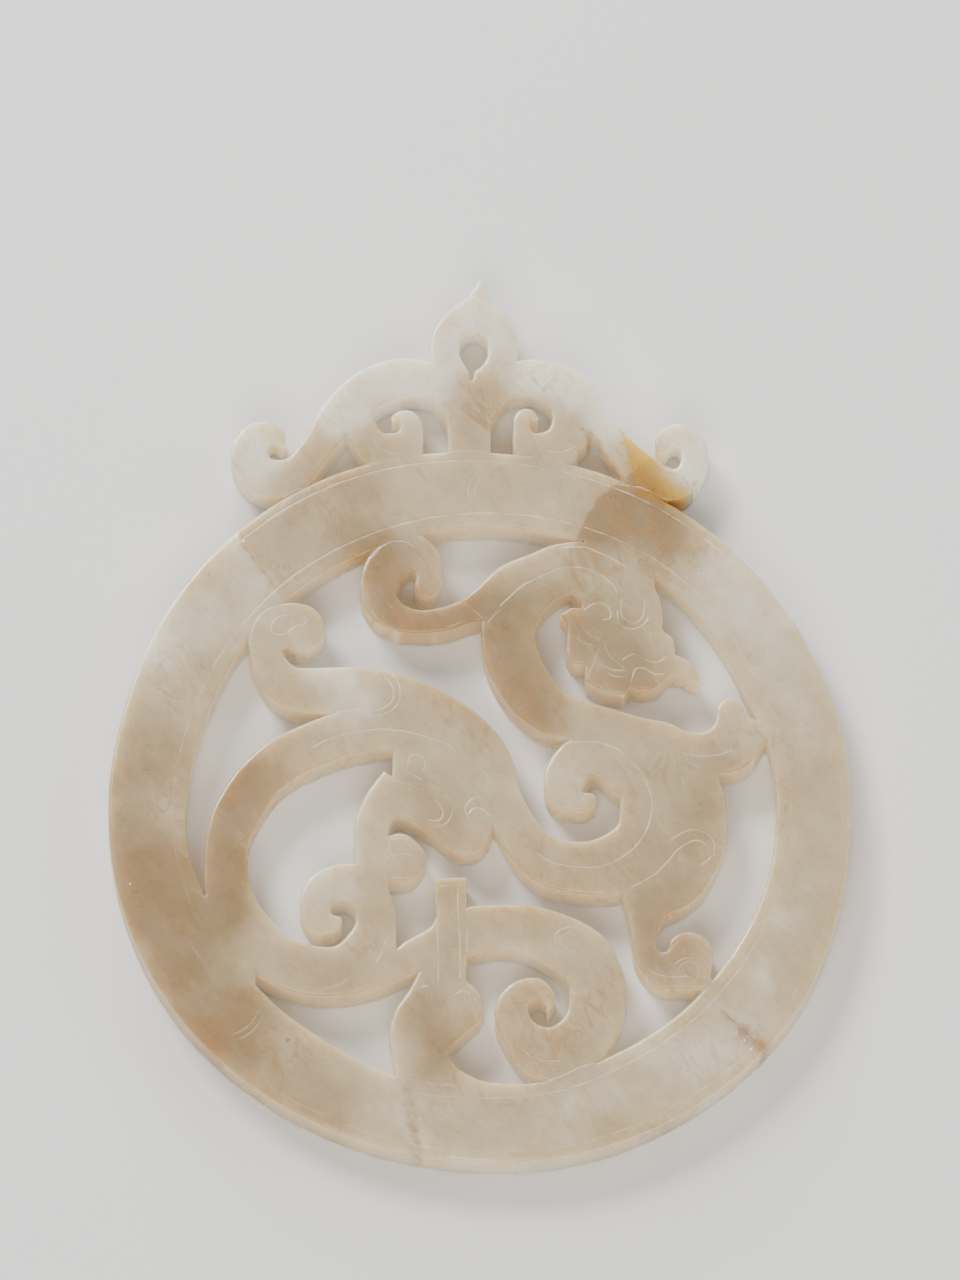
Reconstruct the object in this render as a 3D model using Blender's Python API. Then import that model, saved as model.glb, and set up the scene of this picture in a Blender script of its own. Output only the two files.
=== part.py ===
"""Carved jade pendant: a flat openwork disc with a crown and two coiled creatures, sawn from one slab.

Metres, +Z up. The pendant lies on its back, its crown towards +Y, with the origin on the back face at the
middle of the ring. The drawing of the figures is kept in shares: the ring's inner edge is 293 of the figures'
units from the middle, and the ring's outer edge is 370 of the crown's units from it.
"""

import math

import bmesh
import bpy
import numpy as np
from mathutils import Vector
from mathutils.geometry import delaunay_2d_cdt

# Driving dimensions
RING_DIAMETER = 0.0720
RING_WIDTH = 0.0075
THICKNESS = 0.0046
HANGING_HOLE = 0.0027
EDGE_SOFTENING = 0.00035
EDGE_DROP = 0.00030
LINE_WIDTH = 0.00034
LINE_DEPTH = 0.00014
BORDER_INSET = 0.0012
OUTLINE_TOLERANCE = 0.000045

# What follows from them
OUTER_RADIUS = RING_DIAMETER / 2
INNER_RADIUS = OUTER_RADIUS - RING_WIDTH
CROWN_UNIT = OUTER_RADIUS / 370
FIGURE_UNIT = INNER_RADIUS / 293
RING_STEPS = 360
LIMB_STEPS = 10
CAP_STEPS = 14
CUT_STEPS = 3
BEAD = 0.0008

# The ring was mended from broken arcs: at each angle in degrees, by how many units its edges stray from round
OUTER_STRAY = [
    (0, 1), (30, -2), (60, -1), (88, 1), (98, 4), (113, 7), (131, 6.5), (146, 4), (164, -0.5), (180, 1), (212, 2.5),
    (236, 0), (262, 0), (284, 6), (301, 9), (324, 11), (338, 6), (350, 2.5),
]
INNER_STRAY = [
    (10, 2), (22, -3), (36, 0), (52, 5), (70, 3), (88, 0), (113, -2), (130, -2), (146, -3), (168, -3), (187, 2),
    (199, -2), (222, -1), (239, -2), (254, 2), (270, -3), (282, 3), (296, 0), (313, 2), (331, 3), (344, 4), (356, 3),
]

# Limbs of the two creatures: x, y and full width at each point of the centre line, in figure units
LIMBS = {
    "upper neck and shoulder": [
        (150, 236, 60), (122, 248, 56), (98, 250, 54), (74, 246, 53), (48, 229, 55), (31, 202, 55), (28, 178, 54),
        (34, 150, 54), (48, 123, 52), (72, 98, 47), (105, 87, 44), (140, 77, 41), (175, 65, 46),
    ],
    "upper tail scroll": [
        (62, 244, 46), (32, 230, 48), (9, 215, 38), (-14, 204, 26), (-35, 196, 25), (-60, 193, 24),
        (-83, 198, 29), (-98, 212, 34), (-101, 230, 38), (-94, 252, 40), (-73, 268, 38), (-56, 259, 32), (-51, 243, 27),
        (-54, 231, 23),
    ],
    "long body to the left foot": [
        (168, -40, 72), (147, -55, 65), (124, -64, 60), (100, -65, 53), (72, -60, 50), (50, -44, 44), (36, -20, 40),
        (21, 5, 43), (11, 40, 46), (-6, 67, 46), (-30, 89, 44), (-60, 105, 48), (-95, 116, 47), (-130, 121, 48),
        (-165, 121, 47), (-192, 126, 42), (-209, 145, 35), (-215, 168, 33), (-210, 190, 44),
    ],
    "left foot": [(-214, 184, 44), (-192, 190, 45), (-180, 187, 48)],
    "lower body and bottom scroll": [
        (-60, 78, 50), (-100, 82, 47), (-140, 74, 46), (-170, 62, 46), (-199, 47, 46), (-222, 26, 45),
        (-239, 0, 46), (-251, -28, 44), (-254, -55, 43), (-252, -85, 46), (-243, -115, 50), (-225, -140, 52),
        (-205, -159, 49), (-180, -170, 51), (-150, -174, 51), (-120, -170, 50), (-95, -164, 46),
        (-72, -160, 34), (-45, -147, 40), (-15, -132, 48), (20, -128, 46), (57, -132, 50), (98, -153, 56),
        (115, -180, 55), (116, -205, 57), (106, -233, 58), (88, -255, 58), (67, -264, 46), (45, -242, 42),
        (32, -218, 35), (38, -199, 28), (56, -191, 20), (68, -199, 13), (68, -207, 5),
    ],
    "arm below the lower head": [(-106, -50, 38), (-108, -85, 32), (-107, -112, 36), (-109, -136, 46), (-118, -165, 56)],
    "hooked claw": [
        (-106, -84, 44), (-126, -80, 37), (-143, -81, 36), (-158, -88, 33), (-164, -104, 32), (-160, -119, 27),
        (-149, -123, 18), (-142, -121, 9),
    ],
    "haunch and right leg": [
        (150, 66, 50), (178, 45, 84), (190, 12, 103), (192, -20, 109), (184, -55, 103), (173, -87, 82),
        (165, -112, 38), (163, -136, 25), (168, -160, 26), (188, -172, 40), (208, -157, 48),
    ],
    "curl on the haunch": [
        (152, 32, 52), (130, 50, 48), (103, 52, 42), (87, 34, 43), (84, 16, 37), (92, 6, 22), (102, 4, 19),
        (109, 6, 14),
    ],
}

# Crown scrolls: x, y and full width, in crown units
CROWN_LIMBS = {
    "left scroll": [
        (-20, 446, 44), (-50, 448, 38), (-74, 450, 42), (-99, 445, 42), (-123, 430, 42), (-145, 406, 38),
        (-156, 389, 33), (-169, 370, 31), (-184, 351, 34), (-205, 344, 39), (-223, 351, 38), (-231, 369, 37),
        (-226, 385, 33), (-214, 392, 24), (-203, 390, 15), (-199, 383, 8),
    ],
    "left inner curl": [(-126, 412, 34), (-113, 386, 31), (-96, 372, 38), (-79, 379, 37), (-75, 399, 34)],
    "right scroll": [
        (10, 446, 44), (35, 449, 38), (58, 449, 41), (80, 439, 47), (98, 421, 47), (119, 400, 31),
        (139, 377, 28), (159, 355, 34), (178, 341, 37), (196, 338, 33), (209, 349, 25), (215, 366, 27),
        (211, 383, 25), (199, 391, 21), (186, 387, 18), (182, 378, 13),
    ],
    "right inner curl": [(96, 404, 42), (86, 393, 35), (79, 375, 37), (62, 375, 36), (48, 386, 28), (46, 405, 25)],
}

# Closed outlines, in figure units; a point with a third value of 1 is a sharp corner
LOWER_HEAD = [
    (-60, 96, 1), (-87, 70, 1), (-88, 30, 1), (-96, 36, 1), (-110, 17), (-121, -5), (-126, -28), (-124, -66, 1),
    (-96, -77, 1), (-71, -78), (-59, -67), (-54, -52), (-61, -41), (-72, -32), (-82, -30), (-92, -33, 1),
    (-92, -16, 1), (-80, -12), (-62, -20), (-45, -33), (-30, -45), (-15, -50), (-1, -46), (8, -36), (13, -20, 1),
    (36, -20, 1), (22, 40, 1), (-14, 84, 1),
]
UPPER_HEAD = [
    (101, 242, 1), (178, 244, 1), (178, 240, 1), (181, 215), (183, 198), (183, 184, 1), (192, 176), (195, 167),
    (195, 158, 1), (206, 153), (215, 143), (220, 129, 1), (210, 131), (198, 137), (188, 136), (180, 127),
    (170, 122), (158, 122), (150, 125), (144, 116, 1), (130, 118), (116, 124), (105, 130, 1), (104, 148, 1),
    (94, 149), (87, 157), (86, 164, 1), (87, 180), (86, 192), (80, 200, 1), (90, 207), (101, 207, 1),
]
RIGHT_FOOT = [
    (180, 84, 1), (202, 79), (220, 76), (231, 81), (236, 90), (237, 101), (243, 110), (252, 111), (261, 104),
    (270, 91, 1), (298, 84, 1), (298, 74, 1), (284, 66), (276, 52), (266, 41), (253, 35), (239, 33, 1),
    (239, 18, 1), (190, 10, 1),
]
FOOT_OF_ROD = [
    (-56, -165, 1), (-71, -194), (-83, -212), (-90, -234), (-88, -252), (-82, -290, 1), (-30, -304, 1), (26, -300, 1),
    (26, -293, 1), (2, -288), (-17, -279), (-28, -267), (-30, -253), (-15, -238), (1, -222), (2, -205), (-5, -191),
    (-13, -184, 1), (-13, -150, 1),
]
ROD = [(-46, -77, 1), (-13, -76, 1), (-13, -168, 1), (-50, -168, 1), (-50, -133, 1), (-46, -124, 1)]

# The pointed knob on its stem, in crown units
FINIAL = [
    (0, 556, 1), (-13, 536), (-33, 520), (-47, 500), (-51, 480), (-49, 462), (-52, 430, 1), (-38, 413), (-33, 398),
    (-33, 362, 1), (11, 362, 1), (11, 396), (15, 411), (28, 430, 1), (36, 462), (38, 482), (34, 503), (22, 521), (9, 537),
]
HOLE_PLACE = (-6.5, 487)

# The worn tail below the bored hole, in radii of the hole from its middle
HOLE_TAIL = [
    (-1, 0, 1), (-1, -0.86), (-0.82, -1.37), (-0.52, -1.94), (-0.36, -2.2), (-0.32, -2.6), (-0.22, -2.84), (-0.04, -2.76),
    (0.07, -2.2), (0.47, -1.87), (0.86, -1.37), (1, -0.86), (1, 0, 1),
]

# Small shapes beside the limbs: what is added, then what is cut away, each in its own units
FIGURE_FILLS = [
    [(-148, -94, 1), (-148.5, -103.2, 1), (-145, -100.5), (-139, -99), (-133, -100.5), (-128, -105.3),
     (-125, -110.5), (-123.5, -115.8, 1), (-122, -94, 1)],
    [(-134, -140, 1), (-137, -142.6), (-142, -146.3), (-149, -149, 1), (-140, -152.6, 1), (-132, -145.3, 1)],
    [(-94, -93.7, 1), (-89, -93.7), (-86, -104.2), (-84, -113.7), (-83.3, -127.4), (-83.5, -143.2), (-84, -151, 1),
     (-94, -122, 1)],
    [(-94, -9.5, 1), (-83, -12.1, 1), (-88, -16.3), (-90.5, -23.2), (-91, -32.6, 1), (-95, -32.6, 1)],
    [(93, 223.2, 1), (96, 220.5), (99, 216.8), (101.5, 211.6), (103, 207.9, 1), (103, 225.3, 1)],
    [(210, -159, 1), (231.5, -158, 1), (231, -166), (230, -174), (230.5, -182.5, 1), (236, -187.5, 1), (226, -194.5, 1),
     (219, -192, 1), (212, -192.5), (203, -192), (194, -191, 1), (190, -185, 1)],
    [(58, -225.5, 1), (76, -225.5, 1), (76, -240, 1), (58, -240, 1)],
    [(65, -202, 1), (66, -209.5, 1), (67.5, -214, 1), (69.5, -210.5), (72, -206, 1), (72, -201, 1)],
    [(-250, -147.5, 1), (-237, -161, 1), (-226, -171, 1), (-223, -180), (-224, -188.5, 1), (-236, -175, 1)],
    [(-280, -95, 1), (-268, -95, 1), (-268, -106, 1), (-277, -106, 1)],
]
FIGURE_CUTS = [
    [(178, -149, 1), (178.5, -152), (180.5, -153.5), (183.5, -154), (186.5, -152.5), (188, -149.5), (188.5, -145.5),
     (190, -141.5, 1), (184, -141, 1), (180, -146.5, 1)],
    [(88, -198, 1), (88.5, -204), (88, -209.5), (87, -215.5), (84, -221), (80.5, -226), (74.5, -230.5), (69, -232.5),
     (63.5, -232), (58.5, -230), (54, -227), (51, -223.5), (49, -219.5), (48, -213.5, 1), (55, -216, 1), (67, -220, 1),
     (77, -216, 1), (83, -204, 1)],
    [(-125, -110.5, 1), (-123.7, -115.8), (-124, -121), (-125.5, -126.3), (-130, -133.7), (-135, -140), (-142, -146.3, 1),
     (-142, -141, 1), (-132, -127.4), (-128, -116.8)],
    [(-90.5, -78.2, 1), (-84, -78.2, 1), (-83, -84.2, 1), (-84, -90.5), (-87, -95.8, 1), (-89.5, -93.7), (-90.5, -86.3)],
    [(-83.3, -138.9, 1), (-83.8, -151, 1), (-79, -146.3), (-73, -141.6, 1), (-76, -134.7, 1)],
    [(176.5, 241.1), (181, 236.8, 1), (182, 214.7, 1), (181.8, 210.5, 1), (180, 217.9), (177.5, 223.2), (175.5, 228.4),
     (174.5, 235.8)],
]
CROWN_FILLS = [
    [(-64, 431.2, 1), (-57, 430), (-51, 428), (-46, 424.5), (-41, 419, 1), (-38, 433, 1)],
    [(-59, 403.2, 1), (-57, 393.7), (-56.7, 379), (-58.5, 367.4, 1), (-66, 366, 1), (-64, 383), (-62, 399)],
    [(33, 389.5, 1), (32.5, 381), (33.5, 372.6), (36, 368.4, 1), (45, 366, 1), (40, 383, 1)],
    [(71.5, 416.3, 1), (72, 409), (71.5, 400.5), (69.5, 396.3), (66, 393.7), (63, 392.6, 1), (68, 389, 1), (80, 395, 1),
     (80, 409, 1)],
    [(99, 390.5, 1), (112, 390.5, 1), (110, 385.3, 1), (104, 379.5), (99.5, 376.3, 1)],
]
CROWN_CUTS = [
    [(-83, 427.9, 1), (-76, 431.1), (-68, 432.1), (-60, 431.1), (-54, 429.2, 1), (-62, 425.3, 1)],
    [(-94, 408.4, 1), (-88, 408.4), (-83, 406.8), (-80.5, 403.2), (-80, 397.9), (-82, 393.7), (-87, 391.6), (-94, 391.6, 1)],
    [(26.5, 427.9, 1), (33, 430.5), (40, 432.4), (50, 434.2), (57, 431.6), (63, 427.4), (67, 422.1), (71, 416.3, 1), (72, 404.2, 1),
     (50, 425, 1)],
    [(62, 407.4, 1), (57, 407.9), (52, 406.8), (50, 403.2), (50, 397.9), (52, 393.7), (56, 392.1), (62, 392.6, 1)],
    [(109.5, 385, 1), (113.5, 389.5), (117, 387.4), (120, 381.6), (124, 372.6, 1), (115, 377.9, 1)],
]

# Engraved lines, in figure units
BODY_LINES = [
    [(7, 184), (12, 202), (24, 219), (53, 241), (84, 249), (114, 244), (136, 222)],
    [(78, 60), (95, 66), (113, 67), (136, 59), (156, 41), (169, 15), (169, -11), (159, -37), (136, -58), (111, -66),
     (86, -63), (63, -54), (45, -34)],
    [(151, -86), (166, -79), (184, -63), (199, -44), (216, -37), (229, -44)],
    [(-181, 85), (-147, 96), (-129, 100), (-101, 100), (-89, 107), (-86, 120), (-92, 134)],
    [(-158, 69), (-130, 79), (-100, 80), (-70, 75), (-45, 66)],
    [(-87, 26), (-76, 25), (-54, 13), (-41, 3), (-38, -6), (-41, -15), (-52, -16)],
    [(-39, -19), (-40, -4), (-29, 9), (-14, 14), (-2, 7), (-5, -3), (-13, -5)],
    [(-224, 150), (-219, 176), (-213, 193)],
    [(75, -125), (90, -127), (105, -134), (116, -146)],
    [(-41, -84), (-41, -120), (-41, -166)],
    [(-18, -84), (-18, -120), (-18, -166)],
]


def smooth_path(points, steps):
    """Points on a Catmull-Rom curve through the given rows, which may carry a width."""
    rows = np.array(points, dtype=float)
    ends = np.vstack([2 * rows[0] - rows[1], rows, 2 * rows[-1] - rows[-2]])
    out = []
    for i in range(1, len(ends) - 2):
        a, b, c, d = ends[i - 1 : i + 3]
        for k in range(steps):
            t = k / steps
            out.append(0.5 * (2 * b + (c - a) * t + (2 * a - 5 * b + 4 * c - d) * t**2 + (3 * b - a - 3 * c + d) * t**3))
    out.append(rows[-1])
    return np.array(out)


def closed_outline(points, steps):
    """A closed outline, smooth through its plain points and sharp at its corners."""
    first = next(i for i, p in enumerate(points) if len(p) == 3)
    turned = points[first:] + points[: first + 1]
    out = []
    run = [turned[0][:2]]
    for p in turned[1:]:
        run.append(p[:2])
        if len(p) == 3:
            out.extend(smooth_path(run, steps)[:-1])
            run = [p[:2]]
    return np.array(out)


def disc(centre, radius, steps):
    turns = np.arange(steps) * 2 * math.pi / steps
    return np.array(centre) + radius * np.stack([np.cos(turns), np.sin(turns)], axis=1)


def limb_patches(points, unit):
    """A limb as short patches on both sides of its centre line, with a round end at either side.

    Where the limb bends so tightly that a patch would fold over, a disc fills the bend instead.
    """
    path = smooth_path(points, LIMB_STEPS)
    middle = path[:, :2] * unit
    half = path[:, 2] / 2 * unit
    along = np.gradient(middle, axis=0)
    along /= np.linalg.norm(along, axis=1, keepdims=True)
    side = np.stack([-along[:, 1], along[:, 0]], axis=1) * half[:, None]
    patches = []
    for hand in (side, -side):
        rim = middle + hand
        for i in range(len(path) - 1):
            if np.dot(rim[i + 1] - rim[i], along[i] + along[i + 1]) > 0:
                patches.append(np.array([middle[i], middle[i + 1], rim[i + 1], rim[i]]))
            else:
                patches.append(disc(middle[i], half[i], 2 * CAP_STEPS))
    for i in (0, -1):
        patches.append(disc(middle[i], half[i], 2 * CAP_STEPS))
    return patches


def ring_edge(radius, stray, unit):
    """A circle round the middle that wanders by the strays."""
    turns = np.arange(RING_STEPS) * 360 / RING_STEPS
    rows = [(a - 360, b) for a, b in stray[-3:]] + stray + [(a + 360, b) for a, b in stray[:3]]
    wander = smooth_path(rows, LIMB_STEPS)
    radii = radius + unit * np.interp(turns, wander[:, 0], wander[:, 1])
    return disc((0, 0), 1, RING_STEPS) * radii[:, None]


def hanging_hole():
    """A bored hole with a narrow tail below it."""
    middle = np.array(HOLE_PLACE) * CROWN_UNIT
    radius = HANGING_HOLE / 2
    return [disc(middle, radius, 2 * CAP_STEPS), middle + closed_outline(HOLE_TAIL, CUT_STEPS) * radius]


def triangulate(loops, extra_lines=()):
    """Triangles inside closed loops, with open lines kept as edges."""
    points = []
    edges = []
    for loop, closed in [(l, True) for l in loops] + [(l, False) for l in extra_lines]:
        start = len(points)
        points.extend(Vector(p) for p in loop)
        edges.extend((start + i, start + i + 1) for i in range(len(loop) - 1))
        if closed:
            edges.append((start + len(loop) - 1, start))
    verts, _, faces, *_ = delaunay_2d_cdt(points, edges, [], 1, 1e-9)
    verts = np.array([tuple(v) for v in verts])
    faces = np.array([tuple(f) for f in faces])
    return verts, faces[is_inside(verts[faces].mean(axis=1), loops)].tolist()


def loop_area(loop):
    x, y = loop[:, 0], loop[:, 1]
    return 0.5 * float(np.sum(x * np.roll(y, -1) - y * np.roll(x, -1)))


def union_loops(always, shapes, cuts):
    """Outlines of the shapes joined together, less the cuts, with the always-kept shapes last."""
    points = []
    faces = []
    for patch in always + shapes + cuts:
        patch = patch if loop_area(patch) > 0 else patch[::-1]
        start = len(points)
        points.extend(Vector(p) for p in patch)
        faces.append(tuple(range(start, start + len(patch))))
    verts, _, tris, _, _, owners = delaunay_2d_cdt(points, [], faces, 1, 1e-9)
    kept_from, cut_from = len(always), len(always) + len(shapes)
    following = {}
    edges = {}
    for tri, own in zip(tris, owners):
        solid = any(o < kept_from for o in own)
        drawn = any(kept_from <= o < cut_from for o in own) and not any(o >= cut_from for o in own)
        if solid or drawn:
            for a, b in zip(tri, tri[1:] + tri[:1]):
                edges[(a, b)] = True
    for a, b in edges:
        if (b, a) not in edges:
            following.setdefault(a, []).append(b)
    loops = []
    while following:
        start = next(iter(following))
        loop = [start]
        here = following[start].pop()
        if not following[start]:
            del following[start]
        while here != start:
            loop.append(here)
            choices = following[here]
            there = choices.pop()
            if not choices:
                del following[here]
            here = there
        loops.append(np.array([tuple(verts[i]) for i in loop]))
    return loops


def thin_out(points, tolerance):
    """Keep only the points that the outline needs to stay within the tolerance."""
    keep = np.zeros(len(points), dtype=bool)
    keep[0] = keep[-1] = True
    stack = [(0, len(points) - 1)]
    while stack:
        i, j = stack.pop()
        if j - i < 2:
            continue
        chord = points[j] - points[i]
        length = np.hypot(*chord)
        rel = points[i + 1 : j] - points[i]
        off = np.abs(chord[0] * rel[:, 1] - chord[1] * rel[:, 0]) / length if length > 0 else np.hypot(*rel.T)
        k = int(np.argmax(off))
        if off[k] > tolerance:
            keep[i + 1 + k] = True
            stack += [(i, i + 1 + k), (i + 1 + k, j)]
    return points[keep]


def thin_loop(loop, tolerance):
    far = int(np.argmax(np.hypot(*(loop - loop[0]).T)))
    a = thin_out(loop[: far + 1], tolerance)
    b = thin_out(np.vstack([loop[far:], loop[:1]]), tolerance)
    return np.vstack([a[:-1], b[:-1]])


def edge_distance(points, loops):
    """Distance from each point to the nearest edge of the loops."""
    a = np.vstack(loops)
    b = np.vstack([np.roll(l, -1, axis=0) for l in loops])
    d = b - a
    square = np.maximum(np.sum(d * d, axis=1), 1e-18)
    best = np.full(len(points), np.inf)
    for i, p in enumerate(points):
        t = np.clip(np.sum((p - a) * d, axis=1) / square, 0, 1)
        gap = a + d * t[:, None] - p
        best[i] = math.sqrt(float(np.min(np.sum(gap * gap, axis=1))))
    return best


def is_inside(points, loops):
    count = np.zeros(len(points), dtype=int)
    for l in loops:
        m = np.roll(l, -1, axis=0)
        for (x0, y0), (x1, y1) in zip(l, m):
            if y0 == y1:
                continue
            crosses = (points[:, 1] >= min(y0, y1)) & (points[:, 1] < max(y0, y1))
            count += crosses & (x0 + (points[:, 1] - y0) * (x1 - x0) / (y1 - y0) > points[:, 0])
    return count % 2 == 1


def inset_loop(loop, distance):
    """The loop moved inwards; the material lies on its left."""
    ahead = np.roll(loop, -1, axis=0) - loop
    ahead /= np.linalg.norm(ahead, axis=1, keepdims=True)
    normal = np.stack([-ahead[:, 1], ahead[:, 0]], axis=1)
    mean = normal + np.roll(normal, 1, axis=0)
    mean /= np.maximum(np.linalg.norm(mean, axis=1, keepdims=True), 1e-9)
    stretch = 1 / np.maximum(np.sum(mean * normal, axis=1, keepdims=True), 0.6)
    return loop + mean * distance * stretch


def engraved_lines():
    """Centre lines of every engraved line, in metres."""
    lines = []
    outer = ring_edge(OUTER_RADIUS - BORDER_INSET, OUTER_STRAY, CROWN_UNIT)
    inner = ring_edge(INNER_RADIUS + BORDER_INSET, INNER_STRAY, FIGURE_UNIT)
    for border in (outer, inner):
        lines.append(np.vstack([border[::4], border[:1]]))
    for line in BODY_LINES:
        lines.append(smooth_path(line, 4) * FIGURE_UNIT)
    return lines


def outline_loops():
    """The pierced outline: outer loop anticlockwise, holes clockwise."""
    ring = []
    outer = ring_edge(OUTER_RADIUS, OUTER_STRAY, CROWN_UNIT)
    inner = ring_edge(INNER_RADIUS, INNER_STRAY, FIGURE_UNIT)
    for i in range(RING_STEPS):
        j = (i + 1) % RING_STEPS
        ring.append(np.array([inner[i], outer[i], outer[j], inner[j]]))
    shapes = []
    for limb in LIMBS.values():
        shapes += limb_patches(limb, FIGURE_UNIT)
    for limb in CROWN_LIMBS.values():
        shapes += limb_patches(limb, CROWN_UNIT)
    for outline in (LOWER_HEAD, UPPER_HEAD, RIGHT_FOOT, FOOT_OF_ROD, ROD):
        shapes.append(closed_outline(outline, LIMB_STEPS) * FIGURE_UNIT)
    shapes.append(closed_outline(FINIAL, LIMB_STEPS) * CROWN_UNIT)
    shapes += [closed_outline(o, CUT_STEPS) * FIGURE_UNIT for o in FIGURE_FILLS]
    shapes += [closed_outline(o, CUT_STEPS) * CROWN_UNIT for o in CROWN_FILLS]
    cuts = hanging_hole()
    cuts += [closed_outline(o, CUT_STEPS) * FIGURE_UNIT for o in FIGURE_CUTS]
    cuts += [closed_outline(o, CUT_STEPS) * CROWN_UNIT for o in CROWN_CUTS]
    loops = union_loops(ring, shapes, cuts)
    return [thin_loop(l, OUTLINE_TOLERANCE) for l in loops if abs(loop_area(l)) > BEAD**2 / 4]


def face_mesh(loops, lines, line_depth):
    """One face of the slab: points with how far each lies below the flat, and triangles."""
    insets = [inset_loop(l, EDGE_SOFTENING) for l in loops]
    rows = []
    for line in lines:
        along = np.gradient(line, axis=0)
        along /= np.linalg.norm(along, axis=1, keepdims=True)
        side = np.stack([-along[:, 1], along[:, 0]], axis=1) * LINE_WIDTH / 2
        clear = is_inside(line, loops) & (edge_distance(line, loops) > EDGE_SOFTENING + LINE_WIDTH)
        run = []
        for i, ok in enumerate(list(clear) + [False]):
            if ok:
                run.append(i)
            elif len(run) > 2:
                rows.append((line[run], line[run] + side[run], line[run] - side[run]))
                run = []
            else:
                run = []
    extra = [row for triple in rows for row in triple]
    verts, tris = triangulate(loops, [np.vstack([l, l[:1]]) for l in insets] + extra)
    edge = edge_distance(verts, loops)
    drop = EDGE_DROP * np.clip(1 - edge / EDGE_SOFTENING, 0, 1)
    if rows:
        centres = np.vstack([r[0][1:-1] for r in rows])
        for i, v in enumerate(verts):
            if np.min(np.hypot(*(centres - v).T)) < LINE_WIDTH / 50:
                drop[i] = max(drop[i], line_depth)
    return verts, drop, tris, edge


def pendant():
    loops = outline_loops()
    front = face_mesh(loops, engraved_lines(), LINE_DEPTH)
    back = face_mesh(loops, [], 0)
    mesh = bmesh.new()
    rims = []
    for (verts, drop, tris, edge), top in ((front, True), (back, False)):
        made = []
        for (x, y), d in zip(verts, drop):
            made.append(mesh.verts.new((x, y, THICKNESS - d if top else d)))
        for tri in tris:
            corners = [made[i] for i in tri]
            mesh.faces.new(corners if top else corners[::-1])
        rims.append({(round(v.co.x, 9), round(v.co.y, 9)): v for v, e in zip(made, edge) if e < 1e-8})
    if set(rims[0]) != set(rims[1]):
        raise ValueError("the two faces have different rims")
    twin = {rims[0][k]: rims[1][k] for k in rims[0]}
    for edge in [e for e in mesh.edges if len(e.link_faces) == 1 and e.verts[0] in twin and e.verts[1] in twin]:
        a, b = edge.verts
        face = edge.link_faces[0]
        order = [v for v in face.verts]
        if order[(order.index(a) + 1) % 3] is not b:
            a, b = b, a
        mesh.faces.new((b, a, twin[a], twin[b]))
    bmesh.ops.triangulate(mesh, faces=[f for f in mesh.faces if len(f.verts) > 3])
    bmesh.ops.recalc_face_normals(mesh, faces=mesh.faces)
    data = bpy.data.meshes.new("jade_pendant")
    mesh.to_mesh(data)
    mesh.free()
    thing = bpy.data.objects.new("jade_pendant", data)
    bpy.context.scene.collection.objects.link(thing)
    return thing


def jade():
    material = bpy.data.materials.new("pale jade")
    material.use_nodes = True
    shader = material.node_tree.nodes["Principled BSDF"]
    shader.inputs["Base Color"].default_value = (0.62, 0.54, 0.42, 1)
    shader.inputs["Roughness"].default_value = 0.32
    shader.inputs["Metallic"].default_value = 0
    material.diffuse_color = (0.62, 0.54, 0.42, 1)
    return material


for old in list(bpy.data.objects):
    bpy.data.objects.remove(old)
piece = pendant()
piece.data.materials.append(jade())
print("triangles", len(piece.data.polygons))
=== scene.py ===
# %% [markdown]
# # A carved jade pendant
#
# The pendant is one slab of pale nephrite, sawn through with a string and grit and then polished. A ring
# holds two coiled creatures, and a scrolled crown stands above it with a hole to hang it by. Its outline
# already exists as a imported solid. This lesson gives that solid its real surface: soft worn edges,
# shallow engraved lines, a polish that is never quite flat, and stone that lets some light in.

import math

import bmesh
import bpy
import numpy as np
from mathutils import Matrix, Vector
from mathutils.geometry import delaunay_2d_cdt
from mathutils.kdtree import KDTree


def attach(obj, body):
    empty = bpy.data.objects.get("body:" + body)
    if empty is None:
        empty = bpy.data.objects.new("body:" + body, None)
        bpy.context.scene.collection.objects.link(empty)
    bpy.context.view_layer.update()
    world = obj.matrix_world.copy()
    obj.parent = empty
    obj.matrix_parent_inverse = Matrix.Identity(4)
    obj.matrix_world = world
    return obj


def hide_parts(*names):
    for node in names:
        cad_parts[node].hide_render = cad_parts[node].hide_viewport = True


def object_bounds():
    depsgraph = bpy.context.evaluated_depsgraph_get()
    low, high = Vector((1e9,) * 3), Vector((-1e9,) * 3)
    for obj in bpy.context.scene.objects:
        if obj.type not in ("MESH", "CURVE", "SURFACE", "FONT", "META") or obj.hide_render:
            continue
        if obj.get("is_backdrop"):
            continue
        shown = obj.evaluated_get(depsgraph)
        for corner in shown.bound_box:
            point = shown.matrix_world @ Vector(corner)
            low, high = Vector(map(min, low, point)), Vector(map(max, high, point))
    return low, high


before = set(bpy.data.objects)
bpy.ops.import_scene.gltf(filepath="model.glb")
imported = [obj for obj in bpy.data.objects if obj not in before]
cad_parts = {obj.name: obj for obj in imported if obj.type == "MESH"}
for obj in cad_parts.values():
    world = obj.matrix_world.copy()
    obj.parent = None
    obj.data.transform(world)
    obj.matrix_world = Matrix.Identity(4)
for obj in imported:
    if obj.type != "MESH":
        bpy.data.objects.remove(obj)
cad_low, cad_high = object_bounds()
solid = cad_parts["jade_pendant"]
THICKNESS = cad_high.z
RING_RADIUS = -cad_low.y
MM = 0.001
print("solid", [round(x / MM, 1) for x in cad_high - cad_low], "mm")

# %% [markdown]
# ## Camera
#
# The picture was taken from a little below, with a long lens, so the walls of the openings show only on
# one side. The camera's tilt was found from the ring, which looks slightly squashed, and its distance
# only has to be long enough to keep the ring's two halves the same size. One unit below is one pixel of a
# picture 960 wide and 1280 tall, so that a place seen in it can be turned into a place on the stone.

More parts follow.
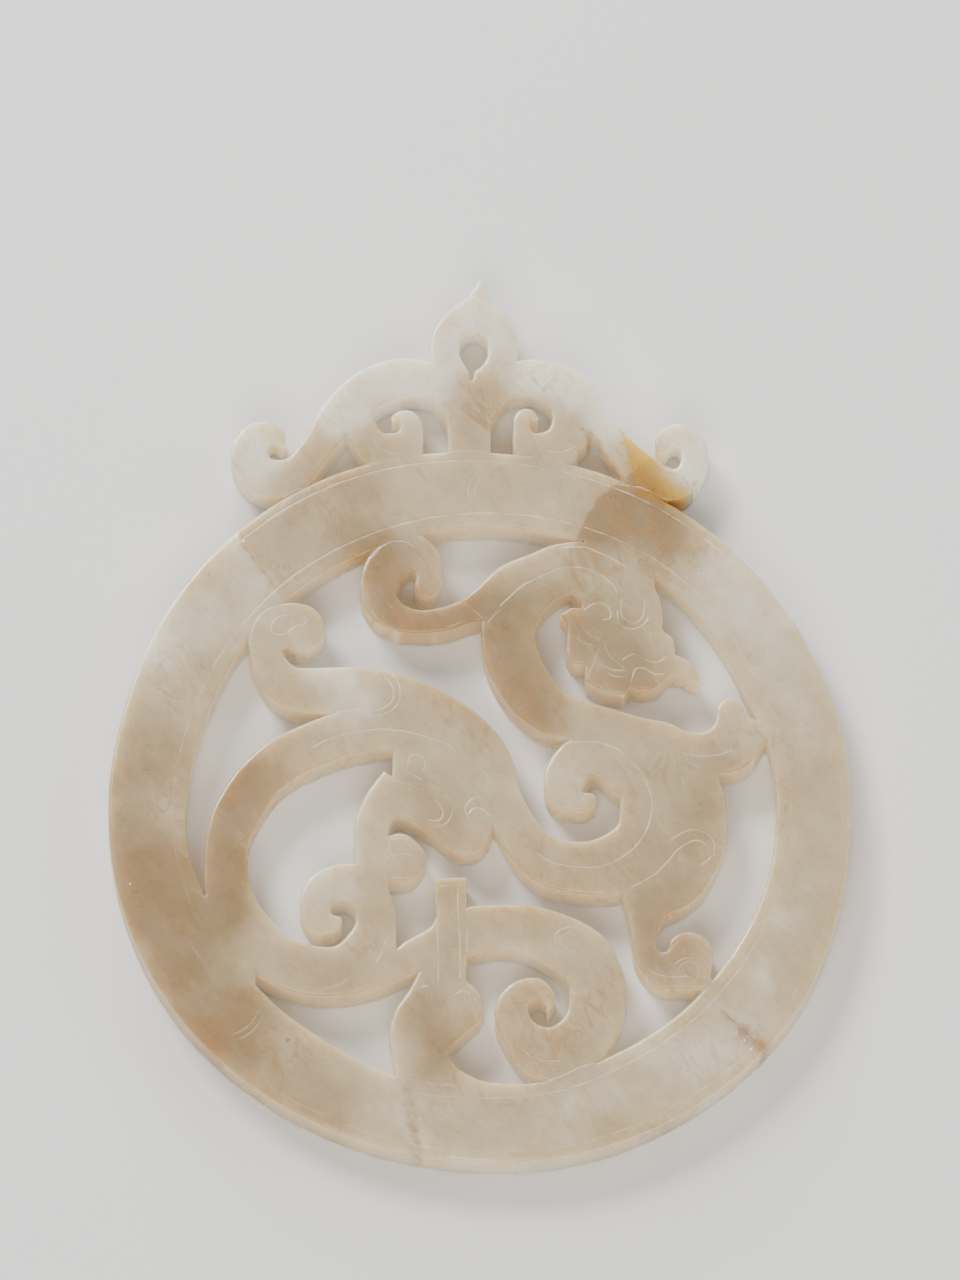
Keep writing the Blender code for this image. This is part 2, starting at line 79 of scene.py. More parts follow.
# %% Camera
PICTURE_WIDTH, PICTURE_HEIGHT = 960, 1280
RING_MIDDLE_SEEN = (480, 804)
RING_RADIUS_SEEN = 370
TILT = math.radians(18.2)
CAMERA_DISTANCE = 2.5
SENSOR_WIDTH = 36
NEAREST, FARTHEST = 0.1, 20
RING_RADIUS_MEASURED = 0.036
PIXEL = RING_RADIUS_MEASURED / RING_RADIUS_SEEN


def on_face(seen):
    """The place on the front face of a point seen in the picture."""
    x, y = seen[0] - RING_MIDDLE_SEEN[0], RING_MIDDLE_SEEN[1] - seen[1]
    return (x * PIXEL, y * PIXEL / math.cos(TILT))


def row_on_face(row):
    return np.array([on_face(seen) for seen in row])


def add_camera():
    data = bpy.data.cameras.new("long lens")
    camera = bpy.data.objects.new("long_lens", data)
    bpy.context.scene.collection.objects.link(camera)
    data.sensor_width = SENSOR_WIDTH
    data.lens = SENSOR_WIDTH * CAMERA_DISTANCE / (PICTURE_HEIGHT * PIXEL)
    aim = Vector((*on_face((PICTURE_WIDTH / 2, PICTURE_HEIGHT / 2)), THICKNESS))
    back = Vector((0, -math.sin(TILT), math.cos(TILT)))
    camera.location = aim + back * CAMERA_DISTANCE
    camera.rotation_euler = (TILT, 0, 0)
    data.clip_start, data.clip_end = NEAREST, FARTHEST
    bpy.context.scene.camera = camera
    return camera


camera = add_camera()
print("lens", round(camera.data.lens), "mm")

# %% [markdown]
# ## The sawn outline
#
# The solid holds the outline as straight pieces between a few hundred points. They are read from a merged
# copy of its mesh: the edges between an upright wall and the softened edge of the front. A curve through
# the points brings the roundness back, and a point where the outline turns sharply stays a corner.

# %% Read the outline
CORNER = math.radians(56)
RIM_STEP = 0.22 * MM
SAME_POINT = 1e-6
TINY = 1e-9
UPRIGHT, LEANING = 0.02, 0.2
CURVE_STEPS = 12


def rim_loops(node):
    """Closed rows of points where the upright walls meet the front's softened edge, stone on their left."""
    mesh = bmesh.new()
    mesh.from_mesh(node.data)
    bmesh.ops.remove_doubles(mesh, verts=mesh.verts, dist=SAME_POINT)
    mesh.normal_update()
    following = {}
    for edge in mesh.edges:
        a, b = edge.verts
        if len(edge.link_faces) != 2 or min(a.co.z, b.co.z) < THICKNESS / 2:
            continue
        wall, slope = sorted(edge.link_faces, key=lambda f: abs(f.normal.z))
        if abs(wall.normal.z) > UPRIGHT or slope.normal.z < LEANING:
            continue
        along = b.co - a.co
        if along.cross(Vector((0, 0, 1))).dot(wall.normal) < 0:
            a, b = b, a
        following[a.index] = b.index
    place = {v.index: (v.co.x, v.co.y) for v in mesh.verts}
    mesh.free()
    loops = []
    while following:
        start, here = following.popitem()
        loop = [start]
        while here != start:
            loop.append(here)
            here = following.pop(here)
        loops.append(np.array([place[i] for i in loop]))
    return loops


def turn_at(loop):
    ahead = np.roll(loop, -1, axis=0) - loop
    behind = loop - np.roll(loop, 1, axis=0)
    cross = behind[:, 0] * ahead[:, 1] - behind[:, 1] * ahead[:, 0]
    return np.abs(np.arctan2(cross, np.sum(ahead * behind, axis=1)))


def curve_through(points):
    """A smooth open curve through points of any spacing."""
    rows = np.vstack([2 * points[0] - points[1], points, 2 * points[-1] - points[-2]])
    out = []
    for p0, p1, p2, p3 in zip(rows, rows[1:], rows[2:], rows[3:]):
        gaps = [max(np.linalg.norm(b - a), TINY) ** 0.5 for a, b in ((p0, p1), (p1, p2), (p2, p3))]
        t0, t1 = -gaps[0], 0.0
        t2, t3 = gaps[1], gaps[1] + gaps[2]
        for k in range(CURVE_STEPS):
            t = t2 * k / CURVE_STEPS
            a1 = (t1 - t) / (t1 - t0) * p0 + (t - t0) / (t1 - t0) * p1
            a2 = (t2 - t) / (t2 - t1) * p1 + (t - t1) / (t2 - t1) * p2
            a3 = (t3 - t) / (t3 - t2) * p2 + (t - t2) / (t3 - t2) * p3
            b1 = (t2 - t) / (t2 - t0) * a1 + (t - t0) / (t2 - t0) * a2
            b2 = (t3 - t) / (t3 - t1) * a2 + (t - t1) / (t3 - t1) * a3
            out.append((t2 - t) / (t2 - t1) * b1 + (t - t1) / (t2 - t1) * b2)
    out.append(points[-1])
    return np.array(out)


def evenly(points, step):
    """The same path with points at equal distances, its ends kept."""
    lengths = np.concatenate([[0], np.cumsum(np.linalg.norm(np.diff(points, axis=0), axis=1))])
    count = max(2, int(round(lengths[-1] / step)) + 1)
    wanted = np.linspace(0, lengths[-1], count)
    return np.stack([np.interp(wanted, lengths, points[:, k]) for k in range(points.shape[1])], axis=1)


def smooth_loop(loop, step):
    corners = np.nonzero(turn_at(loop) > CORNER)[0]
    if len(corners) == 0:
        closed = np.vstack([loop[-1:], loop, loop[:2]])
        return evenly(curve_through(closed)[CURVE_STEPS:-CURVE_STEPS], step)[:-1]
    loop = np.roll(loop, -corners[0], axis=0)
    corners = list(corners - corners[0]) + [len(loop)]
    around = np.vstack([loop, loop[:1]])
    stretches = [around[a : b + 1] for a, b in zip(corners, corners[1:])]
    return np.vstack([evenly(curve_through(s) if len(s) > 2 else s, step)[:-1] for s in stretches])


def area(loop):
    x, y = loop[:, 0], loop[:, 1]
    return 0.5 * float(np.sum(x * np.roll(y, -1) - y * np.roll(x, -1)))


outline = [smooth_loop(l, RIM_STEP) for l in rim_loops(solid)]
face_area = sum(map(area, outline)) / MM**2
print(len(outline), "loops,", sum(map(len, outline)), "rim points, face", round(face_area), "mm2")

# %% [markdown]
# ## The engraved lines
#
# Every line was cut with a small wheel: the borders of the ring, the double crescents spaced round it,
# the spirals on the haunches, and the locks and folds of the heads. They are drawn here as they are seen
# in the picture, with a strength for each, because some are cut firmly and others are hardly scratched.

# %% Lines drawn on the figures
FIRM, MEDIUM, FAINT = 1.0, 0.7, 0.42
FIGURE_LINES = {
    "left foot, cloud": (MEDIUM, [
        (298, 612), (291, 613), (282, 614.5), (275, 618), (271, 624), (271, 630), (275, 634), (282, 634),
        (289, 632)]),
    "left foot, hook": (MEDIUM, [
        (304, 616), (306, 620), (303, 624), (297, 625), (291, 628), (288.5, 632), (290, 637)]),
    "left foot, tip": (FAINT, [(280, 610), (288, 607), (296, 607.5), (302, 610)]),
    "left foot, sole": (FAINT, [(279, 650), (283, 646), (290, 650), (298, 652), (305, 650), (312, 645)]),
    "body end": (FIRM, [
        (352, 708.5), (366, 709.5), (379, 708.5), (387, 705), (392, 699), (393, 690), (390, 682),
        (384, 676)]),
    "body end, outer": (MEDIUM, [
        (356, 712.5), (373, 714.5), (388, 711.5), (397, 703), (400, 692), (398, 682), (392, 674)]),
    "where the bodies cross": (FIRM, [(298, 722.5), (310, 719), (323, 716), (337, 711.5), (352, 708.5)]),
    "lower body, inner": (MEDIUM, [
        (312, 747), (325, 740), (347, 732.5), (367, 729.5), (384, 728.5), (403, 730.5), (422, 735),
        (435, 739.5)]),
    "lower body, inner end": (FAINT, [
        (435, 739.5), (447, 743.5), (455, 749.5), (464, 755), (474, 762), (486, 775), (493, 785)]),
    "lower head, brow": (FIRM, [
        (393, 779), (400, 781), (412, 785), (426, 792), (435, 799), (441, 806), (443, 812), (441, 818),
        (435, 820), (428, 819)]),
    "lower head, cheek": (MEDIUM, [
        (407, 772), (418, 777), (431, 783.5), (441, 790), (447.5, 797.5), (451.5, 807), (450, 817),
        (444.5, 823), (437, 825), (431, 823)]),
    "lower head, ear": (MEDIUM, [
        (407.5, 762), (409.5, 756), (415, 753.5), (421.5, 755.5), (424.5, 761), (423, 769)]),
    "lower head, eye": (FIRM, [
        (468.5, 813), (471, 809), (476, 807), (481, 808), (485.5, 811), (489, 815)]),
    "lower head, eyelid": (MEDIUM, [
        (470, 817.5), (466.5, 814), (465, 809), (466.5, 804), (471, 798.5), (478.5, 796), (484.5, 798),
        (489, 802)]),
    "lower head, jaw": (MEDIUM, [(388.5, 838), (394, 838.5), (400, 836.5), (408, 838)]),
    "lower head, lip": (FAINT, [(390, 841), (388, 847), (391, 852)]),
    "lower head, curl": (FAINT, [(386, 858), (392, 854), (402, 853), (412, 854), (417, 858)]),
    "upper neck, start": (FAINT, [(488, 622), (494, 614.5), (500, 609.5)]),
    "upper neck, inner": (FIRM, [
        (500, 605), (511, 594.5), (523, 584.5), (541, 575.5), (559, 568), (576, 566.5), (592, 570.5),
        (604, 577), (614, 586), (618, 595)]),
    "upper neck, outer": (FIRM, [
        (559, 547.5), (572, 546.5), (586, 547), (597, 551.5), (612, 558), (624, 565.5)]),
    "upper neck, outer end": (FAINT, [(624, 565.5), (636, 572), (646, 579), (655, 587)]),
    "upper neck, collar": (MEDIUM, [
        (621, 597), (621, 613), (625.5, 619.5), (633, 622.5), (640.5, 618.5), (643.5, 611), (644, 599)]),
    "upper neck, second collar": (FIRM, [
        (617, 610), (618.5, 622), (624, 627), (633, 628.5), (641.5, 625), (646, 620)]),
    "upper head, horn": (FIRM, [
        (584, 609.5), (591.5, 604), (600, 602.5), (607, 605.5), (610.5, 613), (608.5, 618.5),
        (603.5, 619)]),
    "upper head, eye": (FIRM, [(577, 637.5), (582, 641.5), (592, 644.5)]),
    "upper head, brow": (MEDIUM, [(585, 630.5), (592, 636), (607, 641)]),
    "upper head, cheek": (FAINT, [(603, 640), (606, 648), (610, 656), (620, 664), (624, 668)]),
    "upper head, fold": (FAINT, [(597, 651), (594, 660), (589, 672), (588, 680)]),
    "upper head, lip": (FIRM, [(605.5, 666), (612, 669.5), (623, 670)]),
    "upper head, second lip": (FIRM, [(608, 673), (614, 676), (623, 676)]),
    "upper head, chin": (FAINT, [(603, 691), (612, 693), (624, 694)]),
    "upper head, jaw": (FAINT, [(631, 679), (630, 690), (628, 700)]),
    "upper head, mane": (FIRM, [
        (623, 658.5), (629, 654.5), (636, 654), (642, 657.5), (648, 660.5), (655, 662), (661, 659.5),
        (664, 657)]),
    "upper head, second mane": (FIRM, [
        (632.5, 676), (634, 670), (638, 667.5), (644, 668), (649, 671), (655, 673.5), (664, 673.5)]),
    "upper head, curl": (MEDIUM, [(650, 633), (656, 632), (661, 633)]),
    "upper head, curl end": (FAINT, [(649, 637), (649, 641.5), (653, 642.5)]),
    "haunch spiral": (FIRM, [
        (557, 747), (564.5, 743.5), (576, 741.5), (593, 741.5), (606.5, 744), (619.5, 750), (631, 759.5),
        (640.5, 771), (648, 787), (651, 802), (650, 815), (645, 830.5)]),
    "haunch spiral, lower": (MEDIUM, [
        (645, 830.5), (634.5, 845.5), (619.5, 857), (602.5, 864.5), (585.5, 866.5), (564.5, 864.5),
        (549.5, 860.5), (538, 853)]),
    "haunch hook, stem": (MEDIUM, [(631, 886), (641, 880.5), (656, 871), (666, 861), (676, 849)]),
    "haunch hook": (FIRM, [
        (676, 849), (686, 842), (695, 839.5), (703, 842), (708.5, 849), (709.5, 856), (704, 861)]),
    "haunch hook, outer": (MEDIUM, [
        (671, 838), (680, 832.5), (691.5, 829), (703, 831.5), (710.5, 837), (713.5, 844), (712.5, 855)]),
    "shoulder, upper": (FAINT, [(649, 725.5), (660, 731), (671, 735.5), (684, 738)]),
    "shoulder": (MEDIUM, [
        (652, 737), (662, 743), (674, 749), (688, 754), (702, 755.5), (714, 755), (723, 753),
        (732, 749)]),
    "shoulder, lower": (FAINT, [(660, 752), (675, 757), (690, 763), (702, 767)]),
    "right foot, fin": (FIRM, [(743, 734), (748, 735.5), (752, 736.5)]),
    "right foot, sole": (MEDIUM, [(718, 773.5), (728, 772.5), (740, 769.5), (749.5, 763.5), (754, 755)]),
    "right foot, second sole": (FAINT, [(721, 769.5), (731, 767.5), (740, 764), (746, 758)]),
    "tail scroll, inner": (FAINT, [
        (371, 610), (381, 622), (396, 630), (415, 633), (436, 631), (460, 622)]),
    "tail scroll, joint": (MEDIUM, [(464, 602), (471, 608), (478, 613.5), (482, 617)]),
    "arm, inner": (FAINT, [(318, 988), (331, 985), (342, 981.5), (347, 977)]),
    "arm, slip of the wheel": (MEDIUM, [(377, 959), (381, 952), (384, 944), (386, 937)]),
    "claw on the arm": (FAINT, [(318, 930), (327, 931), (335, 928), (340, 922)]),
    "right claw, spiral": (FAINT, [
        (677, 970), (680, 963), (690, 960), (697, 966), (696, 976), (687, 982), (676, 979)]),
    "right claw, knuckle": (MEDIUM, [(675.5, 960.5), (684, 956.5), (693, 957)]),
    "right claw, sole": (FAINT, [(645, 973), (652, 984), (663, 992), (677, 996), (690, 996)]),
    "right claw, folds": (MEDIUM, [(648, 968), (657.5, 973), (672, 975), (686, 974.5)]),
    "right claw, wall": (FAINT, [(670, 947), (675.5, 941.5), (682, 937), (692, 936)]),
    "bottom scroll, shell": (MEDIUM, [
        (554, 941), (554, 934), (559, 928.5), (568, 925.5), (577, 925.5), (585, 929)]),
    "bottom scroll, second shell": (FAINT, [
        (558, 945), (558.5, 938), (563, 932.5), (571, 930), (580, 931)]),
    "bottom scroll, swirl": (FAINT, [(560, 944), (567, 949), (577, 950), (585, 945)]),
    "bottom scroll, eye": (FAINT, [(531, 1001), (535, 998), (542, 997.5), (548, 1003)]),
    "bottom scroll, back": (MEDIUM, [(522, 1047), (530, 1053.5), (545, 1058), (560, 1058)]),
    "rod, left side": (FIRM, [(436, 886), (436, 905), (437, 930), (438, 955), (438, 978)]),
    "rod, right side": (FIRM, [
        (458, 884), (457.5, 905), (458, 922), (459.5, 935), (460, 955), (460, 976)]),
    "rod, top": (MEDIUM, [(441, 885), (449, 884), (455, 885)]),
    "rod, meets the ribbon": (MEDIUM, [(466.5, 908), (466.5, 925), (467, 945), (467, 960)]),
    "foot of the rod, bend": (FIRM, [(422, 985), (427, 984), (431, 987), (432, 996)]),
    "foot of the rod, knob": (FIRM, [(457, 991), (461, 988.5), (466, 989), (470, 992)]),
    "crown, left curl, back": (FAINT, [(371, 434), (377, 445), (388, 451), (400, 452)]),
    "crown, right curl, back": (MEDIUM, [(547, 450), (559, 451.5), (570, 448.5), (579, 444)]),
    "crown, right shoulder": (MEDIUM, [(549, 376), (556, 373), (563, 374.5)]),
    "stem, left": (FAINT, [(447, 366), (452, 372), (456, 379)]),
    "stem, right": (FAINT, [(507, 364), (502, 373), (497, 381)]),
}

# %% [markdown]
# Where a creature touches the ring, its own edge runs on as a cut line over the ring, which keeps the
# figure whole to the eye. These lines follow the outline of the figures, so they are drawn with more care
# than the rest.

# %% Lines where figures touch the ring
TOUCHING_LINES = {
    "tail scroll on the ring": (MEDIUM, [(371, 556), (381, 546), (393, 541), (404, 541), (413, 546)]),
    "left foot on the ring": (MEDIUM, [
        (249, 648), (251, 632), (257, 618), (267, 609), (280, 604), (292, 603)]),
    "right foot on the ring": (MEDIUM, [(756, 726), (763, 733), (765, 742), (764, 750)]),
    "bottom scroll on the ring": (FIRM, [
        (524, 1079), (540, 1079.5), (552, 1076), (563, 1072), (581, 1064), (600, 1058.5), (609, 1055)]),
    "foot of the rod on the ring": (FAINT, [(396, 1072), (415, 1077), (436, 1081), (458, 1083)]),
    "crown on the ring, far left": (FIRM, [
        (268, 504), (280, 497), (292, 490.5), (303, 486.5), (314, 483), (325, 479)]),
    "crown on the ring, left": (FAINT, [(372, 463), (390, 459), (418, 455)]),
    "crown on the ring, stem": (FAINT, [(447, 451), (470, 450), (492, 451)]),
    "crown on the ring, curl": (FAINT, [(514, 453), (520, 456), (530, 456)]),
    "crown on the ring, tooth": (MEDIUM, [(556, 457), (560, 462), (567, 465.5), (575, 466)]),
    "crown on the ring, right": (FIRM, [
        (613, 482), (625, 484.5), (637, 486), (655, 493), (671, 502), (685, 512)]),
}
print(len(FIGURE_LINES) + len(TOUCHING_LINES), "drawn lines")

# %% [markdown]
# ## The ring's borders
#
# Two lines run round the ring, a little in from each edge. The ring was mended and isn't quite round, so
# the lines are set off from the edges as they are: its edge is read from the outline wherever the outline
# runs round the ring, and carried on under the crown and under the creatures.

# %% Ring borders
OUTER_BORDER = 0.95 * MM
INNER_BORDER = 1.38 * MM
RING_WIDTH = 7.6 * MM
RING_INNER_RADIUS = RING_RADIUS - RING_WIDTH
EDGE_SEARCH = 0.9 * MM
MOST_RADIAL = 0.2
SMOOTHED = 8
RING_SAMPLES = 361


def ring_edge(near):
    """The ring's own edge near a radius: angles in turn order and the radius at each."""
    found = []
    for loop in outline:
        middle = (loop + np.roll(loop, -1, axis=0)) / 2
        along = np.roll(loop, -1, axis=0) - loop
        radius = np.linalg.norm(middle, axis=1)
        radial = np.abs(np.sum(middle * along, axis=1)) / radius / np.linalg.norm(along, axis=1)
        keep = (np.abs(radius - near) < EDGE_SEARCH) & (radial < MOST_RADIAL)
        found.append(np.stack([np.arctan2(middle[keep, 1], middle[keep, 0]), radius[keep]], axis=1))
    found = np.vstack(found)
    found = found[np.argsort(found[:, 0])]
    angles = np.linspace(-math.pi, math.pi, RING_SAMPLES)
    radii = np.interp(angles, found[:, 0], found[:, 1], period=2 * math.pi)
    spread = np.concatenate([radii[-SMOOTHED - 1 : -1], radii, radii[1 : SMOOTHED + 1]])
    window = 2 * SMOOTHED + 1
    return angles, np.convolve(spread, np.ones(window) / window, mode="valid")


def border_line(near, inset):
    angles, radii = ring_edge(near)
    return np.stack([np.cos(angles), np.sin(angles)], axis=1) * (radii + inset)[:, None]


def firmness(line, table):
    """How firmly a border is cut at each of its points, from a table of (degrees, strength)."""
    degrees = np.degrees(np.arctan2(line[:, 1], line[:, 0]))
    return np.interp(degrees, [d for d, _ in table], [s for _, s in table], period=360)


OUTER_FIRMNESS = [(-180, 0.1), (-130, 0.1), (-105, 0.4), (-40, 0.4), (-20, 0.2), (30, 0.25), (46, 0.9),
                  (125, 1.0), (133, 0.3), (145, 0.08)]
INNER_FIRMNESS = [(-180, 0.3), (-150, 0.08), (-110, 0.1), (-95, 0.6), (-40, 0.6), (-15, 0.25), (20, 0.3),
                  (40, 0.85), (128, 1.0), (140, 0.45), (160, 0.35)]
borders = [border_line(RING_RADIUS, -OUTER_BORDER), border_line(RING_INNER_RADIUS, INNER_BORDER)]
print("border radii", [round(float(np.linalg.norm(b, axis=1).mean()) / MM, 2) for b in borders], "mm")

# %% [markdown]
# ## One network of lines
#
# A line is a chain of mesh edges whose points carry its strength. The crescents repeat, so a geometry
# node tree makes them: it puts a pair of arcs on each of a few points on the ring, turned across the
# band. Everything ends as one mesh of edges, which the carving below reads.

# %% Helpers for node trees
def new_tree(name, kind, inputs, outputs):
    """A node tree of a kind, with named inputs as (name, type, value) and named outputs."""
    tree = bpy.data.node_groups.new(name, kind)
    for label, socket_type, value in inputs:
        socket = tree.interface.new_socket(label, in_out="INPUT", socket_type=socket_type)
        if value is not None:
            socket.default_value = value
    for label, socket_type in outputs:
        tree.interface.new_socket(label, in_out="OUTPUT", socket_type=socket_type)
    return tree, tree.nodes.new("NodeGroupInput"), tree.nodes.new("NodeGroupOutput")


def geometry_tree(name, inputs):
    whole = ("Geometry", "NodeSocketGeometry")
    return new_tree(name, "GeometryNodeTree", [(*whole, None), *inputs], [whole])


def put(tree, kind, values=None, **settings):
    """A node with its settings, and with each named or numbered socket given a value or a link."""
    node = tree.nodes.new(kind)
    for key, value in settings.items():
        setattr(node, key, value)
    for key, value in (values or {}).items():
        if isinstance(value, bpy.types.NodeSocket):
            tree.links.new(value, node.inputs[key])
        else:
            node.inputs[key].default_value = value
    return node


def maths(tree, operation, a, b=0.0, clamp=False):
    return put(tree, "ShaderNodeMath", {0: a, 1: b}, operation=operation, use_clamp=clamp).outputs[0]


def product(tree, first, *others):
    for other in others:
        first = maths(tree, "MULTIPLY", first, other)
    return first


def total(tree, first, *others):
    for other in others:
        first = maths(tree, "ADD", first, other)
    return first


def less(tree, first, *others):
    for other in others:
        first = maths(tree, "SUBTRACT", first, other)
    return first


def vectors(tree, operation, a, b):
    return put(tree, "ShaderNodeVectorMath", {0: a, 1: b}, operation=operation).outputs[0]


def run_tree(thing, tree, values=None):
    """Give an object what a tree makes of it, as a plain mesh."""
    modifier = thing.modifiers.new(tree.name, "NODES")
    modifier.node_group = tree
    for item in tree.interface.items_tree:
        if item.in_out == "INPUT" and item.name in (values or {}):
            modifier[item.identifier] = values[item.name]
    bpy.context.view_layer.update()
    graph = bpy.context.evaluated_depsgraph_get()
    seen = thing.evaluated_get(graph)
    mesh = bpy.data.meshes.new_from_object(seen, preserve_all_data_layers=True, depsgraph=graph)
    thing.modifiers.remove(modifier)
    old = thing.data
    thing.data = mesh
    bpy.data.meshes.remove(old)
    return thing


def edge_mesh(name, chains, strengths):
    """An object of edge chains at height zero, with a strength on every point."""
    points = np.vstack(chains)
    edges = []
    start = 0
    for chain in chains:
        edges += [(start + i, start + i + 1) for i in range(len(chain) - 1)]
        start += len(chain)
    mesh = bpy.data.meshes.new(name)
    mesh.from_pydata([(x, y, 0.0) for x, y in points], edges, [])
    values = np.concatenate([s * np.ones(len(chain)) for chain, s in zip(chains, strengths)])
    mesh.attributes.new("strength", "FLOAT", "POINT").data.foreach_set("value", values)
    thing = bpy.data.objects.new(name, mesh)
    bpy.context.scene.collection.objects.link(thing)
    return thing


# %% Crescents on the ring
CRESCENT_ANGLES = [91, 30.5, -22.8, -76, -135, 159]
CRESCENT_RADIUS = 31.8 * MM
CRESCENT_STRENGTH = 0.42
ARC_POINTS = 9


def crescent_tree():
    """Pairs of arcs on points of the ring, turned to lie across the band."""
    tree, start, end = geometry_tree("double crescents", [
        ("Length", "NodeSocketFloat", 3.3 * MM),
        ("Bend", "NodeSocketFloat", 1.0),
        ("Gap", "NodeSocketFloat", 0.68 * MM),
        ("Strength", "NodeSocketFloat", CRESCENT_STRENGTH),
        ("Material", "NodeSocketMaterial", None),
    ])
    given = start.outputs
    radius = maths(tree, "DIVIDE", given["Length"], given["Bend"])
    arc = put(tree, "GeometryNodeCurveArc", {
        "Resolution": ARC_POINTS, "Radius": radius, "Start Angle": product(tree, given["Bend"], -0.5),
        "Sweep Angle": given["Bend"]})
    shift = put(tree, "ShaderNodeCombineXYZ", {"X": product(tree, radius, -1.0)})
    inner = put(tree, "GeometryNodeTransform", {"Geometry": arc.outputs[0], "Translation": shift.outputs[0]})
    gap = put(tree, "ShaderNodeCombineXYZ", {"X": given["Gap"]})
    outer = put(tree, "GeometryNodeTransform", {"Geometry": inner.outputs[0], "Translation": gap.outputs[0]})
    pair = put(tree, "GeometryNodeJoinGeometry")
    tree.links.new(inner.outputs[0], pair.inputs[0])
    tree.links.new(outer.outputs[0], pair.inputs[0])
    place = put(tree, "GeometryNodeInputPosition")
    parts = put(tree, "ShaderNodeSeparateXYZ", {0: place.outputs[0]})
    angle = maths(tree, "ARCTAN2", parts.outputs["Y"], parts.outputs["X"])
    turn = put(tree, "ShaderNodeCombineXYZ", {"Z": total(tree, angle, math.pi / 2)})
    turned = put(tree, "FunctionNodeEulerToRotation", {0: turn.outputs[0]})
    laid = put(tree, "GeometryNodeInstanceOnPoints", {
        "Points": given["Geometry"], "Instance": pair.outputs[0], "Rotation": turned.outputs[0]})
    real = put(tree, "GeometryNodeRealizeInstances", {0: laid.outputs[0]})
    chain = put(tree, "GeometryNodeCurveToMesh", {"Curve": real.outputs[0]})
    kept = put(tree, "GeometryNodeStoreNamedAttribute", {
        "Geometry": chain.outputs[0], "Name": "strength", "Value": given["Strength"]})
    painted = put(tree, "GeometryNodeSetMaterial", {
        "Geometry": kept.outputs[0], "Material": given["Material"]})
    tree.links.new(painted.outputs[0], end.inputs[0])
    return tree


def ring_points(angles, radius):
    mesh = bpy.data.meshes.new("places on the ring")
    turns = [math.radians(a) for a in angles]
    mesh.from_pydata([(radius * math.cos(a), radius * math.sin(a), 0) for a in turns], [], [])
    thing = bpy.data.objects.new("crescents", mesh)
    bpy.context.scene.collection.objects.link(thing)
    return thing


crescents = run_tree(ring_points(CRESCENT_ANGLES, CRESCENT_RADIUS), crescent_tree())
print("crescent points", len(crescents.data.vertices))

# %% All the lines, and the breaks
LINE_STEP = 0.2 * MM


def chains_of(mesh):
    """The rows of points of a mesh that holds only edge chains."""
    links = {}
    for edge in mesh.edges:
        a, b = edge.vertices
        links.setdefault(a, []).append(b)
        links.setdefault(b, []).append(a)
    rows = []
    waiting = {i for i in links if len(links[i]) == 1}
    while waiting:
        here = waiting.pop()
        row = [here]
        before = None
        while True:
            onward = [i for i in links[here] if i != before]
            if not onward:
                break
            before, here = here, onward[0]
            row.append(here)
        waiting.discard(here)
        rows.append(np.array([tuple(mesh.vertices[i].co)[:2] for i in row]))
    return rows


BREAKS = {
    "ring, upper left": [(239, 533), (242, 546), (252, 557), (258, 566), (268, 577), (276, 590), (283, 602)],
    "ring, upper right": [(613, 486), (605, 492), (598, 498), (594, 507), (588, 514), (583, 526), (577, 536)],
    "ring, lower left": [
        (253, 982), (243, 987), (238, 992), (232, 1000), (222, 1006), (212, 1013), (204, 1022)],
    "ring, lower right": [
        (700, 991), (712, 1003), (722, 1010), (735, 1022), (745, 1032), (758, 1043), (768, 1050)],
    "crown, mended corner": [(624, 432), (627, 449), (632, 462), (637, 477), (644, 489)],
    "crown, right curl": [(667, 472), (680, 474), (692, 488), (698, 497)],
    "upper neck": [(464, 601), (472, 608), (481, 617)],
    "tail scroll": [(422, 611), (427, 618), (432, 627), (428, 636), (425, 646)],
    "upper head": [(589, 603), (580, 608), (571, 611)],
}

drawn = [(s, evenly(curve_through(row_on_face(line)), LINE_STEP))
         for s, line in (*FIGURE_LINES.values(), *TOUCHING_LINES.values())]
lines = [evenly(b, LINE_STEP) for b in borders] + [l for _, l in drawn]
strengths = [firmness(lines[0], OUTER_FIRMNESS), firmness(lines[1], INNER_FIRMNESS)] + [s for s, _ in drawn]
for chain in chains_of(crescents.data):
    lines.append(evenly(chain, LINE_STEP))
    strengths.append(CRESCENT_STRENGTH)
engraved = edge_mesh("engraved_lines", lines, strengths)
cracks = [evenly(row_on_face(line), LINE_STEP) for line in BREAKS.values()]
broken = edge_mesh("old_breaks", cracks, [1.0] * len(cracks))
rims = edge_mesh("rim_lines", [np.vstack([l, l[:1]]) for l in outline], [1.0] * len(outline))
length = sum(float(np.linalg.norm(np.diff(l, axis=0), axis=1).sum()) for l in lines)
print(len(lines), "lines,", round(length / MM), "mm of cutting")
